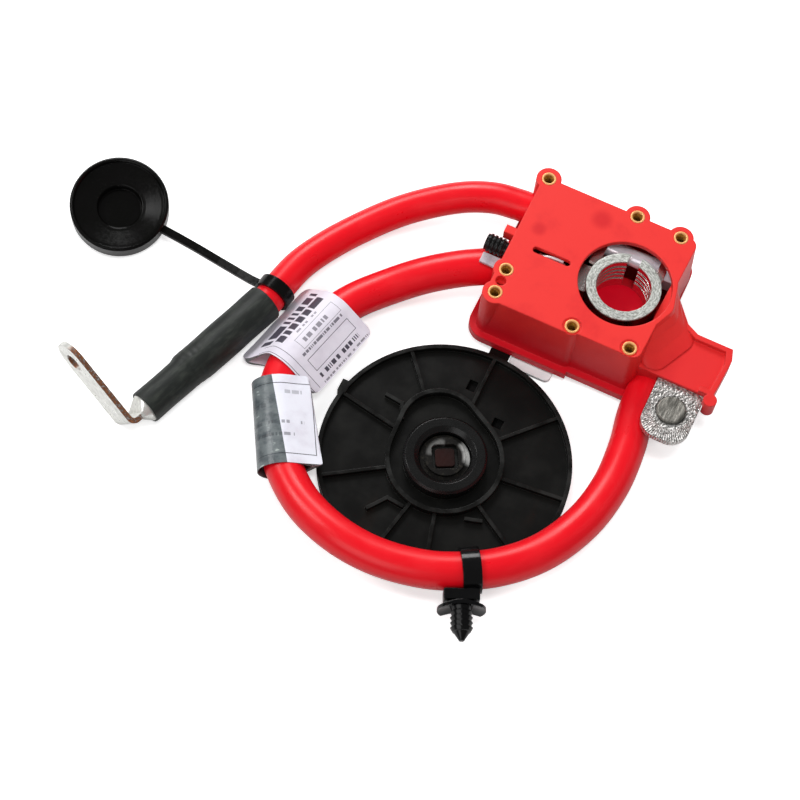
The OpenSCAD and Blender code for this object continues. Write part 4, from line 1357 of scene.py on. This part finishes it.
@dataclass
class ThreadedSleeves:
    """Brass sleeves in the housing's corners, with a rolled lip and a cut thread, in millimetres."""

    top: float = 27.25
    depth: float = 6.5
    outer: float = 2.45
    bore: float = 1.5
    lip: float = 0.25
    chamfer: Spot = (0.2, 0.3)
    countersink: float = 0.9
    thread_from: float = 1.2
    unthreaded: float = 3.2
    thread: float = 0.2
    pitch: float = 0.5
    bottom: float = 1.0
    pin: float = 0.02
    sides: int = 40
    centres: tuple[Spot, ...] = (
        (-38.5, 26.7), (-6, 26.6), (10.1, 25.7),
        (-37.4, -11.6), (-37.3, -20.9), (-9.6, -21.2), (10.4, -20.2),
    )  # fmt: skip

    def profile(self) -> np.ndarray:
        """Section from the closed bottom up the outside, over the lip and down the thread.

        The lip is flat between two quarter circles, and the thread is a saw.

        Returns:
            Rows of radius and height, in metres.
        """
        low, r, bore, lip = self.top - self.depth, self.outer, self.bore, self.lip
        wall = [(self.pin, low), (r - self.chamfer[0], low), (r, low + self.chamfer[1])]
        t = np.linspace(0, math.pi / 2, 6)
        outer = np.stack([r - lip + lip * np.cos(t), self.top - lip + lip * np.sin(t)], 1)
        inner = np.stack([bore + 2 * lip - lip * np.sin(t), self.top - lip + lip * np.cos(t)], 1)
        cone = [(bore + 0.1, self.top - self.countersink)]
        half_turns = np.arange(2 * int((self.depth - self.unthreaded) / self.pitch))
        heights = self.top - self.thread_from - half_turns * self.pitch / 2
        saw = np.stack([bore - self.thread * (half_turns % 2), heights], 1)
        floor = low + self.bottom
        foot = [(bore, floor + 0.6), (bore - 0.8, floor + 0.1), (self.pin, floor)]
        return np.concatenate([wall, outer, inner, cone, saw, foot]) * MM

    def build(self) -> bpy.types.Object:
        """Turns the profile about each centre and joins the sleeves in one piece.

        Returns:
            The piece.
        """
        skin = Skin()
        for x, y in self.centres:
            skin.grid(turned(self.profile(), (x * MM, y * MM), self.sides))
        piece = skin.piece("threaded_sleeves", 30.0)
        return dress(piece, SleeveBrass().material(), Slot.BRASS, ["brass_sleeves"])


@dataclass
class SlotTab:
    """Top of the link's bent tab, seen in the housing's slot, in millimetres."""

    edge: tuple[Point, ...] = (
        (-30.3, -0.75, 24.4), (-28.6, -0.6, 25.7), (-26, -0.1, 26.2), (-21.6, 0.15, 26.1),
    )  # fmt: skip
    wide: float = 1.0
    deep: float = 3.0
    # Painted reflection: near-white, half-diffuse metal with a purple-grey drift stands in for the bright
    # reflection in the slot.
    finish: Metal = Metal("slot_tab", (0.95, 0.92, 0.94), (0.66, 0.58, 0.62), mottle=300.0, metallic=0.45)

    def build(self) -> bpy.types.Object:
        """Carries a strip with a round top along the route of its upper edge.

        The section's half width is w and it goes down to −d: a half circle on a rectangle.

        Returns:
            The piece.
        """
        path = Route(self.edge).line(8)
        half, deep = self.wide / 2 * MM, self.deep * MM
        t = np.linspace(0, math.pi, 12)
        side = np.concatenate([half * np.cos(t), [-half, half]])
        rise = np.concatenate([half * np.sin(t) - half, [-deep, -deep]])
        skin = Skin()
        skin.rod(carried(path, side, rise), run_of(path), np.arange(side.size + 1) * MM)
        return dress(skin.piece("slot_tab"), self.finish.material(), Slot.TINNED)


@dataclass
class PaperLabel:
    """Straight paper round the bent loop cable, with leaves where its sheets are bonded.

    Its section is a circle with tangents that meet at each bonded edge, flattened a little.
    Its inside is the same, a paper's thickness smaller and short of the edges. An edge is given
    by how far it lies left of the cable's middle and above it, the label's ends by their
    positions on the route, and a wave by its height, its length over 2π and its phase.
    Lengths are in millimetres.
    """

    name: str
    node: str
    route: Route
    cable_d: float
    places: tuple[float, float]
    edges: tuple[Spot, ...]
    finish: PrintedPaper
    slot: Slot
    slant: float = 0.0
    lead: float = 0.0
    lead_from: float = 5.0
    lead_over: float = 7.0
    corner: float = 2.6
    slack: float = 1.4
    rise: float = 0.4
    paper: float = 0.3
    bond: float = 3.6
    clear_from: float = 6.5
    clear_over: float = 8.0
    waves: tuple[tuple[float, float, float], ...] = ((0.45, 5.2, 0.8), (0.2, 2.3, 0.0))
    flat_points: int = 20
    round_points: int = 44
    rows: int = 72

    def outline(self, grow: float, short: float) -> np.ndarray:
        """Closed outline in millimetres of left and up, from the first edge over the top.

        An edge at distance d and bearing b has tangents to the circle of radius r that touch
        it at b ± acos(r / d).

        Args:
            grow: added to the circle's radius.
            short: taken off each edge's distance.

        Returns:
            One row for each point.
        """
        cable_r = self.cable_d / 2
        wide = cable_r + self.slack
        flat = (cable_r + self.rise) / wide
        radius = wide + grow
        tips = np.array(self.edges) / (1.0, flat)
        reach = np.linalg.norm(tips, axis=1)
        tips = tips * (1 - short / reach)[:, None]
        bearing = np.arctan2(tips[:, 1], tips[:, 0])
        opening = np.arccos(radius / (reach - short))
        share = np.linspace(0, 1, self.flat_points)[:, None]
        parts = []
        for k, tip in enumerate(tips):
            after = (k + 1) % len(tips)
            first = bearing[k] + opening[k]
            last = bearing[after] - opening[after]
            last += 2 * math.pi * math.ceil(max(first - last, 0) / (2 * math.pi))
            turn = np.linspace(first, last, self.round_points)
            arc = radius * np.stack([np.cos(turn), np.sin(turn)], 1)
            onto = tip * (1 - share) + arc[0] * share
            off = arc[-1] * (1 - share) + tips[after] * share
            parts += [onto, arc[1:-1], off]
        return np.concatenate(parts) * (1.0, flat)

    def trimmed(self, outline: np.ndarray, run: np.ndarray) -> np.ndarray:
        """Outline at each place of the run, with its leaves cut back.

        Near both ends a leaf is cut back by c − √(c² − (c − n)²) at a distance n below the
        corner's radius c, a quarter circle, and a slanted leaf by a straight line as well.

        Args:
            outline: rows of left and up.
            run: distances along the label.

        Returns:
            Array of distances × rows × 2.
        """
        near = np.minimum(np.minimum(run, run[-1] - run), self.corner)
        cut = self.corner - np.sqrt(self.corner**2 - (self.corner - near) ** 2)
        cut = cut + self.slant * (1 - run / run[-1])
        flat = np.repeat(outline[None], run.size, 0)
        for edge in self.edges:
            reach = math.hypot(*edge)
            toward = np.array(edge) / reach
            past = np.maximum(flat @ toward - (reach - cut)[:, None], 0.0)
            flat = flat - past[..., None] * toward
        return flat

    def laid(self, outline: np.ndarray, run: np.ndarray) -> np.ndarray:
        """Net of an outline carried along the label's straight axis.

        Slow sines of the run lift what stands clear of the cable. The leaf on the outside of
        the loop goes on past the far end by the lead, over smooth steps. The axis lies halfway
        between the chord of the cable's bend and its middle.

        Args:
            outline: rows of left and up.
            run: distances along the label.

        Returns:
            Array of distances × rows × 3, in metres.
        """
        start, end = self.places
        first, middle, last = self.route.at(np.array([start, (start + end) / 2, end])) / MM
        lift = (middle - (first + last) / 2) / 2
        direction = (last - first) / np.linalg.norm(last - first)
        left = np.cross(UP, direction)
        left /= np.linalg.norm(left)
        upward = np.cross(direction, left)
        section = self.trimmed(outline, run)
        x, y = section[..., 0], section[..., 1]
        clear = np.clip((np.abs(x) - self.clear_from) / self.clear_over, 0, 1)
        wave = sum(high * np.sin(run / long + phase) for high, long, phase in self.waves)
        leaf = smooth_step((-x - self.lead_from) / self.lead_over)
        along = run[:, None] + self.lead * leaf * smooth_step(2 * run / run[-1] - 1)[:, None]
        height = y + clear * wave[:, None]
        net = first + lift + along[..., None] * direction + x[..., None] * left + height[..., None] * upward
        return net * MM

    def build(self) -> bpy.types.Object:
        """Lays the outside and the inside, with rows that lie closer at both ends.

        Returns:
            The piece.
        """
        ends = self.route.at(np.array(self.places)) / MM
        length = float(np.linalg.norm(ends[1] - ends[0]))
        run = length * (1 - np.cos(np.linspace(0, math.pi, self.rows))) / 2
        outside = self.outline(self.paper, 0.0)
        inside = self.outline(0.0, self.bond)
        around = np.concatenate([run_of(outside), [run_of(outside)[-1] + 0.1]]) * MM
        skin = Skin()
        skin.shell(self.laid(outside, run), self.laid(inside, run), run * MM, run * MM, around)
        return dress(skin.piece(self.name, 50.0), self.finish.material(), self.slot, [self.node])


@dataclass
class Labels:
    """The two labels on the loop cable. Their print counts from a label's inner edge."""

    route: Route
    cable_d: float
    wrap_print: tuple[Print, ...] = (
        Print((1.5, 0.6), (27.0, 1.3), pitch=0.4, share=0.5, seed=11, ink=0.7),
        Print((4.5, 2.6), (24.0, 4.2), pitch=0.42, share=0.62, seed=120),
        Print((3.5, 5.4), (24.0, 10.2), line=0.2),
        Print((4.0, 11.8), (24.0, 12.8), pitch=0.36, share=0.66, seed=80, ink=0.8),
        Print((3.0, 13.4), (22.0, 18.0), line=0.16, ink=0.75),
        Print((8.0, 14.8), (20.0, 16.4), pitch=0.62, share=0.5, seed=33, ink=0.7),
        Print((6.5, 19.0), (19.0, 19.8), pitch=0.5, share=0.55, seed=61, ink=0.6),
        Print((3.0, 20.8), (25.0, 24.4), pitch=0.85, share=0.62, seed=40),
        Print((2.0, 25.6), (26.0, 29.8), pitch=1.05, share=0.66, seed=3),
        Print((27.0, 0.8), (27.2, 27.0)),
        Print((29.6, 0.8), (29.8, 27.0)),
    )
    fold_print: tuple[Print, ...] = (
        Print((3.0, 1.8), (28.6, 40.0), line=0.28),
        Print((5.6, 5.0), (6.9, 11.6), pitch=0.5, share=0.5, seed=7, turned=True, ink=0.4),
        Print((16.6, 5.4), (17.7, 30.0), pitch=0.55, share=0.5, seed=60, turned=True, ink=0.6),
        Print((21.0, 9.0), (22.1, 30.0), pitch=0.55, share=0.45, seed=90, turned=True, ink=0.6),
        Print((10.0, 18.0), (11.4, 30.0), pitch=0.9, share=0.6, seed=21, turned=True, ink=0.5),
    )

    def wrapped(self) -> bpy.types.Object:
        """Makes the wrapped label: a leaf on each side, the outer one running on at its far end.

        Returns:
            The piece.
        """
        paper = PrintedPaper("label_paper", screen(232, 227, 238), screen(48, 42, 60), self.wrap_print)
        label = PaperLabel(
            "wrapped_label", "label_wrap", self.route, self.cable_d, places=(6.42, 8.95),
            edges=((15.0, -0.4), (-14.4, -4.7)), finish=paper, slot=Slot.PAPER, lead=3.6,
        )  # fmt: skip
        return label.build()

    def folded(self) -> bpy.types.Object:
        """Makes the folded label: one slanted leaf, with a grey film over its far half.

        Returns:
            The piece.
        """
        film = PrintedPaper(
            "label_film", screen(238, 239, 249), screen(40, 40, 48), self.fold_print,
            film_from=15.4, film_lean=0.1,
        )  # fmt: skip
        label = PaperLabel(
            "folded_label", "label_fold", self.route, self.cable_d, places=(9.34, 12.0),
            edges=((13.4, 2.6),), finish=film, slot=Slot.FILM, slant=2.4, corner=0.9,
        )  # fmt: skip
        return label.build()


@dataclass
class FrameNodes:
    """Nodes of the frame that keep their own mesh and take a finish."""

    nodes: dict[str, bpy.types.Object]
    inner: tuple[str, ...] = ("link_sleeve", "loop_start_crimp", "branch_crimp", "bus_bar", "loop_end_crimp")
    collar: Moulded = Moulded(
        "collar_black", screen(12, 12, 12), screen(19, 19, 19),
        roughness=0.28, grain=0.012 * MM, grain_scale=2400.0, gloss=0.3,
    )  # fmt: skip
    cap: Moulded = Moulded(
        "cap_black", screen(5, 5, 4), screen(9, 8, 8),
        roughness=0.2, grain=0.0, grain_scale=1200.0, gloss=0.2,
    )  # fmt: skip
    tie: Moulded = Moulded(
        "tie_black", screen(4, 4, 5), screen(9, 9, 10),
        roughness=0.16, grain=0.0, grain_scale=1800.0, gloss=0.3,
    )  # fmt: skip
    tongue: Moulded = Moulded(
        "pale_tongue", screen(250, 251, 252), screen(228, 231, 234), roughness=0.3, grain=0.01 * MM
    )
    hub: Moulded = Moulded(
        "hub_brown", screen(40, 19, 17), screen(22, 13, 12),
        roughness=0.4, grain=0.03 * MM, grain_scale=900.0, gloss=0.15,
    )  # fmt: skip
    tin: Metal = Metal("tinned", (0.66, 0.64, 0.62), (0.3, 0.27, 0.25), roughness=0.26)
    # Painted reflection: the lavender tint and the pale, mostly diffuse base stand in for the steel's
    # reflections.
    polish: Metal = Metal(
        "polished", (0.86, 0.81, 0.87), (0.5, 0.44, 0.5),
        roughness=0.22, mottle=160.0, depth=0.006 * MM, metallic=0.3,
    )  # fmt: skip

    def finishes(self) -> tuple[tuple[Finish, Slot, tuple[str, ...]], ...]:
        """Pairs the finishes with the frame's nodes.

        Returns:
            Each finish with its slot and the nodes that take it.
        """
        return (
            (HousingRed(), Slot.HOUSING, ("housing_cover", "housing_base")),
            (CastClamp(), Slot.TINNED, ("clamp_ring",)),
            (self.polish, Slot.POLISHED, ("clamp_bolt", "clamp_nut", "plug_clip")),
            (self.tin, Slot.TINNED, self.inner),
            (self.collar, Slot.BLACK_PLASTIC, ("side_plug", "hub_collar")),
            (DiscBlack(), Slot.BLACK_PLASTIC, ("cover_plate",)),
            (HubContact(), Slot.TINNED, ("hub_contact",)),
            (self.hub, Slot.HUB, ("hub_core",)),
            (CrystalLug(), Slot.LUG, ("terminal_lug",)),
            (DullStud(), Slot.STUD, ("lug_stud",)),
            (self.tongue, Slot.TONGUE, ("flange_tongue",)),
            (LugPlate(), Slot.LUG_PLATE, ("angle_lug",)),
            (self.cap, Slot.CAP, ("terminal_cap",)),
            (self.tie, Slot.TIE, ("cable_tie", "tie_anchor")),
        )

    def build(self) -> None:
        """Dresses every node that no new piece stands for."""
        for finish, slot, names in self.finishes():
            material = finish.material()
            for name in names:
                dress(self.nodes[name], material, slot)


def main() -> None:
    """Builds the camera, the object's sub-assemblies in order, the lamps and the floor."""
    logging.basicConfig(level=logging.INFO, format="%(name)s: %(message)s")
    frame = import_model()
    nodes = frame["nodes"]
    studio = Studio()
    studio.camera()
    sleeve = ShrinkSleeve().build()
    cables = Cables()
    labels = Labels(cables.loop_route(), cables.loop_d)
    on_loop = [labels.wrapped(), labels.folded(), nodes["cable_tie"], nodes["tie_anchor"]]
    cables.build(on_loop, [sleeve, nodes["angle_lug"]])
    ThreadedSleeves().build()
    SlotTab().build()
    FrameNodes(nodes).build()
    studio.light()
    studio.floor()


if __name__ == "__main__":
    main()
